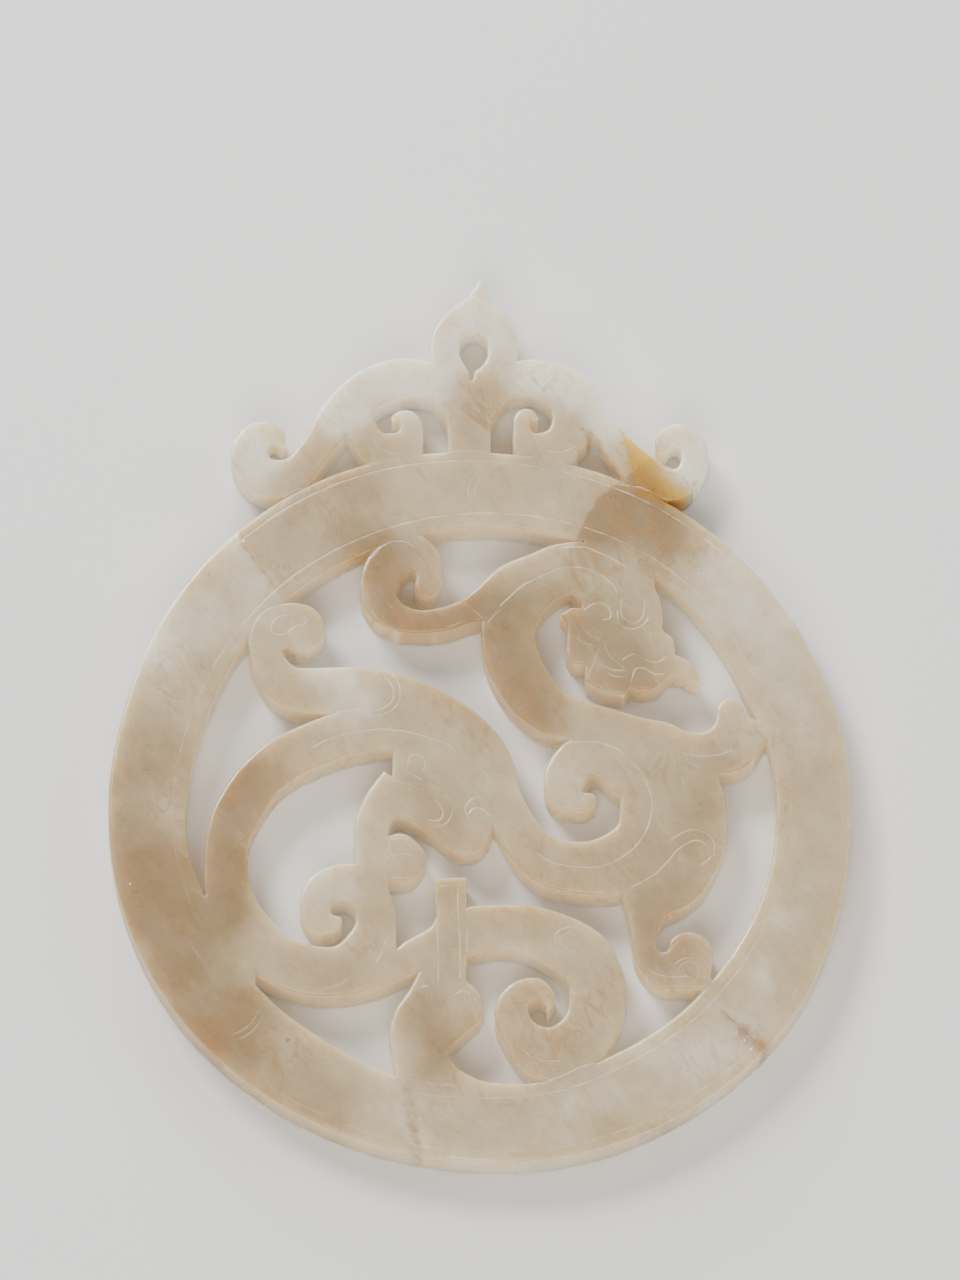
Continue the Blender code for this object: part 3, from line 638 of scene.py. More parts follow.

# %% [markdown]
# ## A slab with points where they are needed
#
# Fine lines need fine faces, but a fine grid everywhere would be wasted on the plain stretches. So the
# face gets its points one by one: rows beside the rim for the worn edge, rows beside every line for its
# groove, and a loose honeycomb between them. A Delaunay triangulation joins them up, and what falls in an
# opening is thrown away.

# %% Points for the faces
EDGE_RADIUS = 0.20 * MM
GROOVE_WIDTH = 0.24 * MM
HONEYCOMB = 0.62 * MM
BACK_HONEYCOMB = 1.4 * MM
EDGE_ROWS = [0.05 * MM, 0.12 * MM, 0.22 * MM, 0.42 * MM]
BACK_EDGE_ROWS = [0.18 * MM]
LINE_ROWS = [(0, 0.05 * MM), (0.06 * MM, 0.04 * MM), (0.12 * MM, 0.05 * MM), (0.22 * MM, 0.08 * MM)]
BREAK_ROWS = [0, 0.05 * MM, 0.13 * MM]
BREAK_GAP = 0.045 * MM
BREAK_TO_RIM = 0.04 * MM
SIEVE_CELL = 0.45 * MM
WIDEST_GAP = 0.44 * MM
EDGE_ROW_CLEAR, EDGE_ROW_GAP = 0.8, 0.55
HONEYCOMB_CLEAR, HONEYCOMB_GAP = 0.5, 0.6
SHARPEST = 0.5


class Sieve:
    """Points so far, with a quick answer to whether a new one is too close to any of them."""

    def __init__(self, cell):
        self.cell = cell
        self.cells = {}
        self.points = []

    def add(self, point, gap):
        x, y = float(point[0]), float(point[1])
        i, j = int(x // self.cell), int(y // self.cell)
        for a in (i - 1, i, i + 1):
            for b in (j - 1, j, j + 1):
                for u, v in self.cells.get((a, b), ()):
                    if (u - x) ** 2 + (v - y) ** 2 < gap * gap:
                        return
        self.cells.setdefault((i, j), []).append((x, y))
        self.points.append((x, y))


def inside(points, loops):
    """Whether each point lies in the stone, by counting the rims to its right."""
    count = np.zeros(len(points), dtype=int)
    for loop in loops:
        for (x0, y0), (x1, y1) in zip(loop, np.roll(loop, -1, axis=0)):
            if y0 == y1:
                continue
            crossed = np.nonzero((points[:, 1] >= min(y0, y1)) & (points[:, 1] < max(y0, y1)))[0]
            where = x0 + (points[crossed, 1] - y0) * (x1 - x0) / (y1 - y0)
            count[crossed] += where > points[crossed, 0]
    return count % 2 == 1


def inward(loop):
    """At each rim point, the direction into the stone, long enough at a corner to keep rows parallel."""
    ahead = np.roll(loop, -1, axis=0) - loop
    ahead /= np.linalg.norm(ahead, axis=1, keepdims=True)
    normal = np.stack([-ahead[:, 1], ahead[:, 0]], axis=1)
    mean = normal + np.roll(normal, 1, axis=0)
    mean /= np.maximum(np.linalg.norm(mean, axis=1, keepdims=True), TINY)
    return mean / np.maximum(np.sum(mean * normal, axis=1, keepdims=True), SHARPEST)


def beside(line, offset):
    along = np.gradient(line, axis=0)
    along /= np.maximum(np.linalg.norm(along, axis=1, keepdims=True), TINY)
    return line + np.stack([-along[:, 1], along[:, 0]], axis=1) * offset


rim_tree = KDTree(sum(len(l) for l in outline))
for k, point in enumerate(np.vstack(outline)):
    rim_tree.insert((*point, 0), k)
rim_tree.balance()


def rim_distance(point):
    return rim_tree.find((*point, 0))[2]


def rows_beside(paths, offset):
    return [beside(path, side * offset) for path in paths for side in ((1, -1) if offset else (1,))]


def honeycomb_points(step):
    low, high = np.vstack(outline).min(axis=0), np.vstack(outline).max(axis=0)
    rows = np.arange(low[1], high[1], step * math.sqrt(3) / 2)
    return np.array([(x + (k % 2) * step / 2, y) for k, y in enumerate(rows)
                     for x in np.arange(low[0], high[0], step)])


def face_points(edge_rows, line_rows, break_rows, honeycomb):
    """Points for one face, the rim's own first."""
    sieve = Sieve(SIEVE_CELL)
    for loop in outline:
        for point in loop:
            sieve.add(point, 0)
    for depth in edge_rows:
        for loop in outline:
            for point in loop + inward(loop) * depth:
                if rim_distance(point) > EDGE_ROW_CLEAR * depth:
                    sieve.add(point, EDGE_ROW_GAP * min(depth, RIM_STEP))
    for offset, gap in line_rows:
        rows = [r[[rim_distance(p) > gap for p in r]] for r in rows_beside(lines, offset)]
        candidates = np.vstack([r for r in rows if len(r)])
        for point in candidates[inside(candidates, outline)]:
            sieve.add(point, gap)
    for offset in break_rows:
        candidates = np.vstack(rows_beside(cracks, offset))
        for point in candidates[inside(candidates, outline)]:
            if rim_distance(point) > BREAK_TO_RIM:
                sieve.add(point, BREAK_GAP)
    grid = honeycomb_points(honeycomb)
    for point in grid[inside(grid, outline)]:
        if rim_distance(point) > honeycomb * HONEYCOMB_CLEAR:
            sieve.add(point, min(honeycomb * HONEYCOMB_GAP, WIDEST_GAP))
    return np.array(sieve.points)


def triangles(points):
    """Triangles between the points, kept where they lie in the stone, turned to face up."""
    edges = []
    start = 0
    for loop in outline:
        edges += [(start + i, start + (i + 1) % len(loop)) for i in range(len(loop))]
        start += len(loop)
    made, _, faces, origins, *_ = delaunay_2d_cdt([Vector(p) for p in points], edges, [], 0, 1e-10)
    if len(made) != len(points):
        raise ValueError("the rim crosses itself")
    order = np.array([o[0] for o in origins])
    faces = order[np.array([tuple(f) for f in faces])]
    return faces[inside(points[faces].mean(axis=1), outline)]


front = face_points(EDGE_ROWS, LINE_ROWS, BREAK_ROWS, HONEYCOMB)
back = face_points(BACK_EDGE_ROWS, [], [], BACK_HONEYCOMB)
front_faces, back_faces = triangles(front), triangles(back)
print("front", len(front_faces), "and back", len(back_faces), "triangles")

# %% [markdown]
# ## Where the stone changes colour
#
# Nephrite is never one colour. Long burial turned some parts bluish white, and rust from the soil crept
# in along the breaks. These broad changes are painted on the points as strokes with a soft edge: a place
# and a reach read from the picture, and how strong the change is. Some pale strokes on the ring and the
# limbs are painted sheen as well: they stand in for the broad reflection of light on the polish.

# %% Tones of the stone
# A stroke is its strength, its reach in pixels, its places, and for some the break and side where it stops.
TONES = {
    # In the first table negative strokes pale the stone and positive ones warm it; the pale strokes on the
    # ring and the limbs are partly painted sheen.
    "warmth_and_sheen": [
        (-0.4, 62, [(226, 560), (196, 610), (166, 660)], "ring, upper left", -1),
        (0.2, 50, [(262, 545), (300, 540), (345, 530)], "ring, upper left", 1),
        (0.3, 46, [(150, 760), (140, 850)]),
        (0.3, 30, [(150, 720), (156, 690)]),
        (1.1, 50, [(150, 900), (176, 965), (214, 1010)], "ring, lower left", -1),
        (1.1, 34, [(222, 1018), (240, 1010)], "ring, lower left", 1),
        (0.65, 46, [(222, 1050), (262, 1085), (330, 1115)]),
        (-0.5, 26, [(330, 668), (362, 704)]),
        (-0.4, 40, [(740, 600), (782, 660)]),
        (-0.35, 60, [(700, 1030), (640, 1095), (500, 1135)]),
        (-0.35, 50, [(760, 980), (800, 900)]),
        (-0.35, 24, [(520, 950), (590, 945)]),
        (-0.9, 38, [(478, 295), (478, 330)]),
        (-1.5, 38, [(340, 405), (370, 385), (410, 375)]),
        (-1.1, 34, [(540, 372), (590, 388), (612, 410)]),
        (-0.9, 34, [(250, 440), (262, 465)]),
        (-1.5, 34, [(690, 435), (700, 460)]),
        (0.4, 26, [(476, 395), (472, 440)]),
        (1.1, 40, [(600, 520), (640, 508), (668, 530)], "ring, upper right", 1),
        (-0.35, 40, [(700, 560), (760, 620)]),
        (1.1, 36, [(385, 560), (395, 600), (425, 632), (462, 618)]),
        (0.55, 40, [(540, 600), (505, 620), (500, 680), (530, 720)]),
        (0.35, 34, [(680, 965), (645, 915)]),
        (0.7, 44, [(600, 640), (640, 680)]),
        (1.1, 38, [(225, 900), (232, 840), (252, 780)]),
        (0.45, 26, [(448, 900), (450, 960)]),
        (0.5, 28, [(300, 960), (345, 975)]),
        (0.65, 34, [(420, 790), (440, 830)]),
        (1.0, 32, [(420, 1010), (436, 1045)]),
        (0.3, 30, [(560, 1050), (600, 1010)]),
        (-0.2, 20, [(322, 885), (345, 890)]),
        (0.3, 24, [(560, 410), (600, 450)]),
    ],
    "stain": [
        (0.65, 10, [(200, 1020), (210, 1034), (220, 1054)]),
        (0.5, 8, [(226, 1038), (240, 1034), (251, 1026)]),
        (0.7, 20, [(214, 1022), (234, 1010), (246, 1000)], "ring, lower left", 1),
        (0.8, 9, [(744, 1032), (758, 1043), (770, 1052)]),
        (0.35, 7, [(722, 1012), (736, 1024)]),
        (0.5, 8, [(408, 1084), (411, 1110), (416, 1140), (418, 1160)]),
        (0.3, 6, [(246, 549), (260, 570), (276, 592)]),
        (0.3, 4, [(573, 605), (580, 607)]),
        (0.42, 4, [(288, 643), (294, 648)]),
        (0.35, 5, [(588, 428), (591, 438), (594, 448)]),
        (0.4, 4, [(686, 490), (697, 482)]),
        (0.32, 5, [(302, 976), (308, 984), (314, 991)]),
        (0.3, 5, [(358, 915), (367, 928), (377, 940)]),
        (0.3, 4, [(335, 867), (340, 878), (344, 888)]),
        (0.35, 6, [(398, 980), (412, 976), (428, 976)]),
        (0.32, 5, [(434, 1028), (440, 1040), (448, 1052)]),
        (0.3, 5, [(426, 628), (432, 632)]),
        (0.28, 6, [(575, 770), (588, 776), (600, 771)]),
        (0.3, 5, [(360, 852), (356, 858)]),
        (0.3, 6, [(380, 806), (392, 812), (376, 820)]),
        (0.25, 6, [(583, 578), (590, 590), (590, 600)]),
        (0.45, 4, [(572, 418), (582, 428), (590, 442), (596, 458)]),
        (0.4, 4, [(598, 440), (606, 452), (618, 468)]),
        (0.4, 4, [(345, 434), (350, 446), (358, 456)]),
        (0.35, 3, [(441, 314), (450, 320), (458, 326)]),
        (0.4, 4, [(534, 378), (545, 388), (552, 400)]),
        (0.35, 4, [(590, 960), (596, 975), (604, 1000)]),
        (0.35, 4, [(660, 1098), (668, 1108), (664, 1116)]),
        (0.45, 5, [(640, 1128), (668, 1120), (696, 1104)]),
        (0.35, 4, [(188, 945), (196, 968), (203, 985), (214, 1002)]),
        (0.35, 4, [(160, 955), (172, 990), (186, 1012)]),
        (0.3, 6, [(295, 1092), (305, 1098)]),
        (0.28, 5, [(265, 1060), (272, 1074)]),
    ],
}
MENDED_JOINT = [(616, 425), (625, 449), (627, 462), (631, 477), (636, 492)]
MENDED_END = [(706, 500), (690, 484), (668, 471)]
MENDED_CORNER = [*MENDED_JOINT, (690, 516), *MENDED_END, (659, 465), (652, 455), (640, 440), (630, 425)]
MENDED_FADES = [(MENDED_JOINT, 0.5 * MM), (MENDED_END, 1.8 * MM)]
BREAK_FADE = 0.4 * MM


def stroke_distance(points, row):
    """Distance from each point to a row of straight pieces."""
    best = np.full(len(points), np.inf)
    for a, b in zip(row[:-1], row[1:]):
        along = b - a
        t = np.clip((points - a) @ along / max(float(along @ along), TINY**2), 0, 1)
        best = np.minimum(best, np.linalg.norm(points - (a + t[:, None] * along), axis=1))
    return best


def side_of(points, row):
    """1 left of a row of straight pieces, walking along it, and -1 right of it."""
    best, side = np.full(len(points), np.inf), np.ones(len(points))
    for a, b in zip(row[:-1], row[1:]):
        distance = stroke_distance(points, np.array([a, b]))
        along, aside = b - a, points - a
        turned = np.where(along[0] * aside[:, 1] - along[1] * aside[:, 0] > 0, 1.0, -1.0)
        side = np.where(distance < best - TINY, turned, side)
        best = np.minimum(best, distance)
    return side


def tone_at(points, strokes):
    tone = np.zeros(len(points))
    for strength, reach, row, *stop in strokes:
        distance = stroke_distance(points, row_on_face(row))
        change = strength * np.exp(-((distance / (reach * PIXEL)) ** 2))
        if stop:
            name, side = stop
            row = row_on_face(BREAKS[name])
            past = side_of(points, row) * stroke_distance(points, row) * side / BREAK_FADE
            change *= np.clip(0.5 + past, 0, 1)
        tone += change
    return np.clip(tone, -1, 1)


# %% [markdown]
# ## The slab
#
# The front, the back and the sawn walls are one closed mesh. Each point knows how high it sits between
# back and front, and which way is into the stone. The faces are still flat here and the walls upright.

# %% Build the slab
WALL_ROWS = 4


def note(mesh, name, values, kind="FLOAT", domain="POINT"):
    data = mesh.attributes.new(name, kind, domain).data
    data.foreach_set("vector" if kind == "FLOAT_VECTOR" else "value", values)


def slab_mesh():
    rim_count = sum(len(l) for l in outline)
    inner = np.vstack([inward(l) for l in outline])
    flat = [front, back]
    heights = [np.ones(len(front)), np.zeros(len(back))]
    directions = [np.vstack([inner, np.zeros((len(side) - rim_count, 2))]) for side in (front, back)]
    starts = [0]
    count = len(front) + len(back)
    for k in range(1, WALL_ROWS):
        starts.append(count)
        flat.append(front[:rim_count])
        heights.append(np.full(rim_count, 1 - k / WALL_ROWS))
        directions.append(inner)
        count += rim_count
    starts.append(len(front))
    faces = [tuple(f) for f in front_faces] + [tuple(f[::-1] + len(front)) for f in back_faces]
    wall_start = len(faces)
    first = 0
    for loop in outline:
        for i in range(len(loop)):
            a, b = first + i, first + (i + 1) % len(loop)
            for upper, lower in zip(starts, starts[1:]):
                faces.append((upper + b, upper + a, lower + a, lower + b))
        first += len(loop)
    flat = np.vstack(flat)
    height = np.concatenate(heights)
    mesh = bpy.data.meshes.new("jade slab")
    points = np.column_stack([flat, height * THICKNESS])
    mesh.from_pydata(points.tolist(), [], [tuple(map(int, f)) for f in faces])
    note(mesh, "height", height)
    wide = np.column_stack([np.vstack(directions), np.zeros(len(flat))])
    note(mesh, "inward", wide.ravel(), "FLOAT_VECTOR")
    for name, strokes in TONES.items():
        note(mesh, name, tone_at(flat, strokes))
    depths = [stroke_distance(flat, row_on_face(row)) / fade for row, fade in MENDED_FADES]
    note(mesh, "mend", np.clip(np.min(depths, axis=0), 0, 1))
    note(mesh, "is_wall", np.arange(len(faces)) >= wall_start, "BOOLEAN", "FACE")
    middles = np.array([flat[list(f)].mean(axis=0) for f in faces])
    note(mesh, "is_mended", inside(middles, [row_on_face(MENDED_CORNER)]), "BOOLEAN", "FACE")
    mesh.shade_smooth()
    return mesh


slab = bpy.data.objects.new("jade_slab", slab_mesh())
bpy.context.scene.collection.objects.link(slab)
mended = sum(a.value for a in slab.data.attributes["is_mended"].data)
print("slab", len(slab.data.polygons), "faces, mended corner", mended)

# %% [markdown]
# ## Stone
#
# Five node groups make the stone, so that the polished face, the sawn walls and the mended corner share
# one look: clouds and veins in the colour, stains that break up at their edges, matt lines where the
# wheel cut, a painted highlight along the rims, single specks, and a polish crossed by faint hair
# scratches. Light travels a little way into nephrite, which is left to the shader's own subsurface
# sockets; the sawn walls are also coloured lighter and give out their own colour as light, a painted
# glow for the light that comes through the stone.

# %% Shader groups
PLAIN_STONE = {
    "Stone": (0.47, 0.37, 0.215, 1),
    "Pale": (0.71, 0.665, 0.55, 1),
    "Warm": (0.28, 0.182, 0.075, 1),
}
RUST = (0.36, 0.2, 0.07, 1)
COLOR, FLOAT, VECTOR = "NodeSocketColor", "NodeSocketFloat", "NodeSocketVector"
CLOUD_SCALE, FIBRE_SCALE, VEIN_SCALE, VEIN_AREA_SCALE, GRAIN_SCALE = 75.0, 300.0, 170.0, 120.0, 2600.0
FIBRE_TURN, FIBRE_STRETCH = -0.95, (1.0, 0.33, 1.0)
VEIN_TURN, VEIN_STRETCH = -1.1, (1.0, 0.42, 1.0)
STAIN_SCALE, LINE_PATCH_SCALE, SPECK_EDGE_SCALE = 900.0, 480.0, 5200.0
WEAR_SCALE, PIT_SCALE, HAIR_LENGTH = 240.0, 1500.0, 22.0
HAIR_SCRATCHES = [(0.35, 1400.0), (1.25, 1100.0), (2.4, 1700.0)]
CRACK_WIDTH, CRACK_CORE = 0.14 * MM, 0.01 * MM
RIM_LIGHT_WIDTH, RIM_LIGHT_CORE = 0.2 * MM, 0.05 * MM


def shader_group(name, inputs, outputs=(("Color", COLOR),)):
    return new_tree(name, "ShaderNodeTree", inputs, outputs)


def noise_at(tree, vector, scale, detail=2.0, roughness=0.5, distortion=0.0):
    return put(tree, "ShaderNodeTexNoise", {
        "Vector": vector, "Scale": scale, "Detail": detail, "Roughness": roughness,
        "Distortion": distortion}).outputs["Fac"]


def swing(tree, noise, amount):
    """A noise turned into a change up and down from nothing."""
    return product(tree, less(tree, noise, 0.5), amount)


def ramp(tree, value, low, high, to_low=0.0, to_high=1.0):
    return put(tree, "ShaderNodeMapRange", {
        "Value": value, "From Min": low, "From Max": high, "To Min": to_low, "To Max": to_high},
        interpolation_type="SMOOTHSTEP").outputs["Result"]


def blend(tree, factor, a, b, mode="MIX"):
    return put(tree, "ShaderNodeMix", {0: factor, 6: a, 7: b}, data_type="RGBA", blend_type=mode).outputs[2]


def drawn_out(tree, place, turn, scale):
    """Coordinates that draw a pattern out along a turned direction."""
    return put(tree, "ShaderNodeMapping", {"Vector": place, "Rotation": (0.0, 0.0, turn), "Scale": scale},
               vector_type="TEXTURE").outputs[0]


def cloudy_stone():
    tree, start, end = shader_group("cloudy stone", [
        ("Place", VECTOR, (0, 0, 0)),
        ("Stone", COLOR, PLAIN_STONE["Stone"]),
        ("Pale", COLOR, PLAIN_STONE["Pale"]),
        ("Warm", COLOR, PLAIN_STONE["Warm"]),
        ("Vein", COLOR, RUST),
        ("Warmth And Sheen", FLOAT, 0.0),
        ("Clouds", FLOAT, 1.0),
        ("Veins", FLOAT, 0.7),
    ])
    given = start.outputs
    place = given["Place"]
    broad = noise_at(tree, place, CLOUD_SCALE, 4.0, 0.6)
    along_fibres = drawn_out(tree, place, FIBRE_TURN, FIBRE_STRETCH)
    fibres = noise_at(tree, along_fibres, FIBRE_SCALE, 4.0, 0.6, 0.8)
    along_veins = drawn_out(tree, place, VEIN_TURN, VEIN_STRETCH)
    winding = noise_at(tree, along_veins, VEIN_SCALE, 4.0, 0.6, 0.6)
    off_vein = maths(tree, "ABSOLUTE", less(tree, winding, 0.5))
    where = ramp(tree, noise_at(tree, place, VEIN_AREA_SCALE), 0.46, 0.6)
    where = product(tree, where, ramp(tree, given["Warmth And Sheen"], -0.3, 0.6, 0.35, 1.0))
    vein = product(tree, ramp(tree, off_vein, 0.04, 0.003), where)
    tone_and_sheen = total(tree, given["Warmth And Sheen"], product(tree, swing(tree, broad, 2.6), given["Clouds"]))
    color = blend(tree, ramp(tree, tone_and_sheen, -0.1, 1.1), given["Stone"], given["Warm"])
    # Toward Pale: the stone's own bluish white, and in places painted sheen.
    color = blend(tree, ramp(tree, tone_and_sheen, 0.1, -1.1), color, given["Pale"])
    color = blend(tree, product(tree, ramp(tree, fibres, 0.56, 0.76), 0.12), color, given["Pale"])
    color = blend(tree, product(tree, vein, given["Veins"]), color, given["Vein"])
    grain = ramp(tree, noise_at(tree, place, GRAIN_SCALE), 0.25, 0.75, 0.97, 1.03)
    level = product(tree, ramp(tree, fibres, 0.25, 0.6, 0.92, 1.01), grain)
    grey = put(tree, "ShaderNodeCombineColor", {0: level, 1: level, 2: level}).outputs[0]
    tree.links.new(blend(tree, 1.0, color, grey, "MULTIPLY"), end.inputs["Color"])
    return tree


def old_stain():
    tree, start, end = shader_group("old stain", [
        ("Place", VECTOR, (0, 0, 0)),
        ("Color", COLOR, PLAIN_STONE["Stone"]),
        ("Stain", COLOR, (0.29, 0.165, 0.06, 1)),
        ("Amount", FLOAT, 0.0),
        ("Break Distance", FLOAT, 1.0),
    ])
    given = start.outputs
    patchy = noise_at(tree, given["Place"], STAIN_SCALE, 5.0, 0.65)
    soaked = total(tree, given["Amount"], swing(tree, patchy, 1.4))
    touched = ramp(tree, given["Amount"], 0.02, 0.35)
    mask = product(tree, ramp(tree, soaked, 0.1, 0.9), touched, 0.8)
    color = blend(tree, mask, given["Color"], given["Stain"])
    crack = ramp(tree, given["Break Distance"], CRACK_WIDTH, CRACK_CORE, 0.0, 0.7)
    crack = product(tree, crack, ramp(tree, patchy, 0.4, 0.6))
    tree.links.new(blend(tree, crack, color, RUST), end.inputs["Color"])
    return tree


def ground_line_and_highlight():
    """Where the wheel ground a line, its floor stays matt and looks pale; along the rims, a painted
    highlight.
    """
    tree, start, end = shader_group("ground line and painted highlight", [
        ("Color", COLOR, PLAIN_STONE["Stone"]),
        ("Roughness", FLOAT, 0.3),
        ("Chalk And Highlight", COLOR, (0.92, 0.84, 0.69, 1)),
        ("Line Distance", FLOAT, 1.0),
        ("Strength", FLOAT, 0.7),
        ("Half Width", FLOAT, 0.07 * MM),
        ("Highlight Distance", FLOAT, 1.0),
        ("Place", VECTOR, (0, 0, 0)),
    ], [("Color", COLOR), ("Roughness", FLOAT)])
    given = start.outputs
    clean = ramp(tree, noise_at(tree, given["Place"], LINE_PATCH_SCALE, 3.0, 0.6), 0.4, 0.62, 0.2, 1.0)
    near = ramp(tree, given["Line Distance"], given["Half Width"], 0.0)
    mask = product(tree, near, given["Strength"], clean)
    # Along the rims the chalk colour is laid as a painted highlight.
    edge = product(tree, ramp(tree, given["Highlight Distance"], RIM_LIGHT_WIDTH, RIM_LIGHT_CORE), clean)
    chalk_and_highlight = maths(tree, "MAXIMUM", product(tree, mask, 0.66), product(tree, edge, 0.9))
    tree.links.new(blend(tree, chalk_and_highlight, given["Color"], given["Chalk And Highlight"]), end.inputs["Color"])
    tree.links.new(total(tree, given["Roughness"], product(tree, mask, 0.3)), end.inputs["Roughness"])
    return tree


def single_speck():
    tree, start, end = shader_group("speck", [
        ("Place", VECTOR, (0, 0, 0)),
        ("Color", COLOR, PLAIN_STONE["Stone"]),
        ("Middle", VECTOR, (0, 0, 0)),
        ("Radius", FLOAT, 0.3 * MM),
        ("Tint", COLOR, (0.12, 0.11, 0.04, 1)),
        ("Strength", FLOAT, 0.75),
    ])
    given = start.outputs
    away = put(tree, "ShaderNodeVectorMath", {0: given["Place"], 1: given["Middle"]}, operation="DISTANCE")
    ragged = ramp(tree, noise_at(tree, given["Place"], SPECK_EDGE_SCALE), 0.3, 0.7, 0.3, 1.4)
    reach = maths(tree, "DIVIDE", away.outputs["Value"], product(tree, given["Radius"], ragged))
    mask = product(tree, ramp(tree, reach, 1.0, 0.3), given["Strength"])
    tree.links.new(blend(tree, mask, given["Color"], given["Tint"]), end.inputs["Color"])
    return tree


def worn_polish():
    tree, start, end = shader_group("worn polish", [
        ("Place", VECTOR, (0, 0, 0)),
        ("Smooth", FLOAT, 0.24),
        ("Dull", FLOAT, 0.42),
        ("Scratches", FLOAT, 0.3),
    ], [("Roughness", FLOAT), ("Height", FLOAT)])
    given = start.outputs
    place = given["Place"]
    wear = noise_at(tree, place, WEAR_SCALE, 4.0, 0.6)
    tree.links.new(ramp(tree, wear, 0.35, 0.68, given["Smooth"], given["Dull"]), end.inputs["Roughness"])
    hairs = 0.0
    for turn, size in HAIR_SCRATCHES:
        across = drawn_out(tree, place, turn, (1.0, HAIR_LENGTH, 1.0))
        hairs = maths(tree, "MAXIMUM", hairs, ramp(tree, noise_at(tree, across, size, 1.0), 0.62, 0.72))
    pits = ramp(tree, noise_at(tree, place, PIT_SCALE, 3.0, 0.6), 0.34, 0.22)
    low = total(tree, product(tree, hairs, given["Scratches"]), pits)
    tree.links.new(product(tree, low, -1.0), end.inputs["Height"])
    return tree


CLOUDY, STAIN, LINE, SPECK, POLISH = cloudy_stone(), old_stain(), ground_line_and_highlight(), single_speck(), worn_polish()
print("groups", [group.name for group in (CLOUDY, STAIN, LINE, SPECK, POLISH)])

# %% Stone materials
NEPHRITE_IOR = 1.61
LIGHT_INSIDE = {"Weight": 0.9, "Radius": (1.0, 0.7, 0.42), "Scale": 0.006}
POINT_NOTES = ("warmth_and_sheen", "stain", "mend", "break_distance", "line_distance", "line_strength", "rim_distance")
SAW_STRETCH = (1.0, 1.0, 0.12)
SAW_MARK_SCALE, MEND_EDGE_SCALE = 1900.0, 800.0


def grouped(tree, group, values):
    return put(tree, "ShaderNodeGroup", values, node_tree=group).outputs


def stone(name, colors, polish, bump, saw_marks=0.0, glow=0.0, specks=(), fades=False):
    """A nephrite surface; colors and polish go to the groups, the rest stays on the shader."""
    material = bpy.data.materials.new(name)
    material.use_nodes = True
    tree = material.node_tree
    shader = tree.nodes["Principled BSDF"]
    place = put(tree, "ShaderNodeTexCoord").outputs["Object"]
    said = {key: put(tree, "ShaderNodeAttribute", attribute_name=key).outputs["Fac"] for key in POINT_NOTES}
    if fades:
        ragged = product(tree, noise_at(tree, place, MEND_EDGE_SCALE, 4.0, 0.6), 0.7)
        amount = ramp(tree, total(tree, said["mend"], ragged), 0.35, 1.15)
        colors = {key: blend(tree, amount, PLAIN_STONE[key], value) for key, value in colors.items()}
    color = grouped(tree, CLOUDY, {"Place": place, "Warmth And Sheen": said["warmth_and_sheen"], **colors})["Color"]
    color = grouped(tree, STAIN, {"Place": place, "Color": color, "Amount": said["stain"],
                                  "Break Distance": said["break_distance"]})["Color"]
    for seen, radius, tint in specks:
        middle = (*on_face(seen), THICKNESS)
        color = grouped(tree, SPECK, {"Place": place, "Color": color, "Middle": middle, "Radius": radius * MM,
                                      "Tint": tint})["Color"]
    worn = grouped(tree, POLISH, {"Place": place, **polish})
    lined = grouped(tree, LINE, {"Color": color, "Roughness": worn["Roughness"],
                                 "Line Distance": said["line_distance"], "Strength": said["line_strength"],
                                 "Highlight Distance": said["rim_distance"], "Place": place})
    height = worn["Height"]
    if saw_marks:
        upright = put(tree, "ShaderNodeMapping", {"Vector": place, "Scale": SAW_STRETCH})
        marks = noise_at(tree, upright.outputs[0], SAW_MARK_SCALE, 3.0, 0.6)
        height = total(tree, height, product(tree, marks, saw_marks))
    bumped = put(tree, "ShaderNodeBump", {"Height": height, "Distance": bump, "Strength": 1.0})
    for socket, source in (("Base Color", lined["Color"]), ("Emission Color", lined["Color"]),
                           ("Roughness", lined["Roughness"]), ("Normal", bumped.outputs[0])):
        tree.links.new(source, shader.inputs[socket])
    # glow sets the emission: a painted glow in the surface's own colour, not a lamp.
    shader.inputs["Emission Strength"].default_value = glow
    shader.inputs["IOR"].default_value = NEPHRITE_IOR
    for key, value in LIGHT_INSIDE.items():
        shader.inputs["Subsurface " + key].default_value = value
    return material


OLIVE, BROWN, CHIP = (0.14, 0.13, 0.04, 1), (0.2, 0.11, 0.04, 1), (0.95, 0.93, 0.86, 1)
# A speck is its place in the picture, its radius in millimetres and its tint.
STONE_SPECKS = [
    ((288.5, 1038), 0.36, OLIVE), ((236, 536), 0.24, CHIP), ((243, 541), 0.2, CHIP),
    ((743, 1038), 0.17, CHIP), ((750, 1047), 0.2, CHIP), ((690, 1122), 0.2, CHIP),
    ((684, 1126), 0.15, CHIP), ((549, 372), 0.2, CHIP), ((736, 1030), 0.14, CHIP),
    ((247, 651), 0.22, BROWN), ((209, 574), 0.2, OLIVE), ((131, 883), 0.17, CHIP),
    ((546, 617), 0.16, CHIP), ((699, 573), 0.14, CHIP),
]
CORNER_PITS = [
    ((653, 489), 0.26, BROWN), ((673, 497), 0.26, BROWN), ((640, 468), 0.14, BROWN),
    ((660, 471), 0.14, BROWN), ((633, 460), 0.12, BROWN),
]
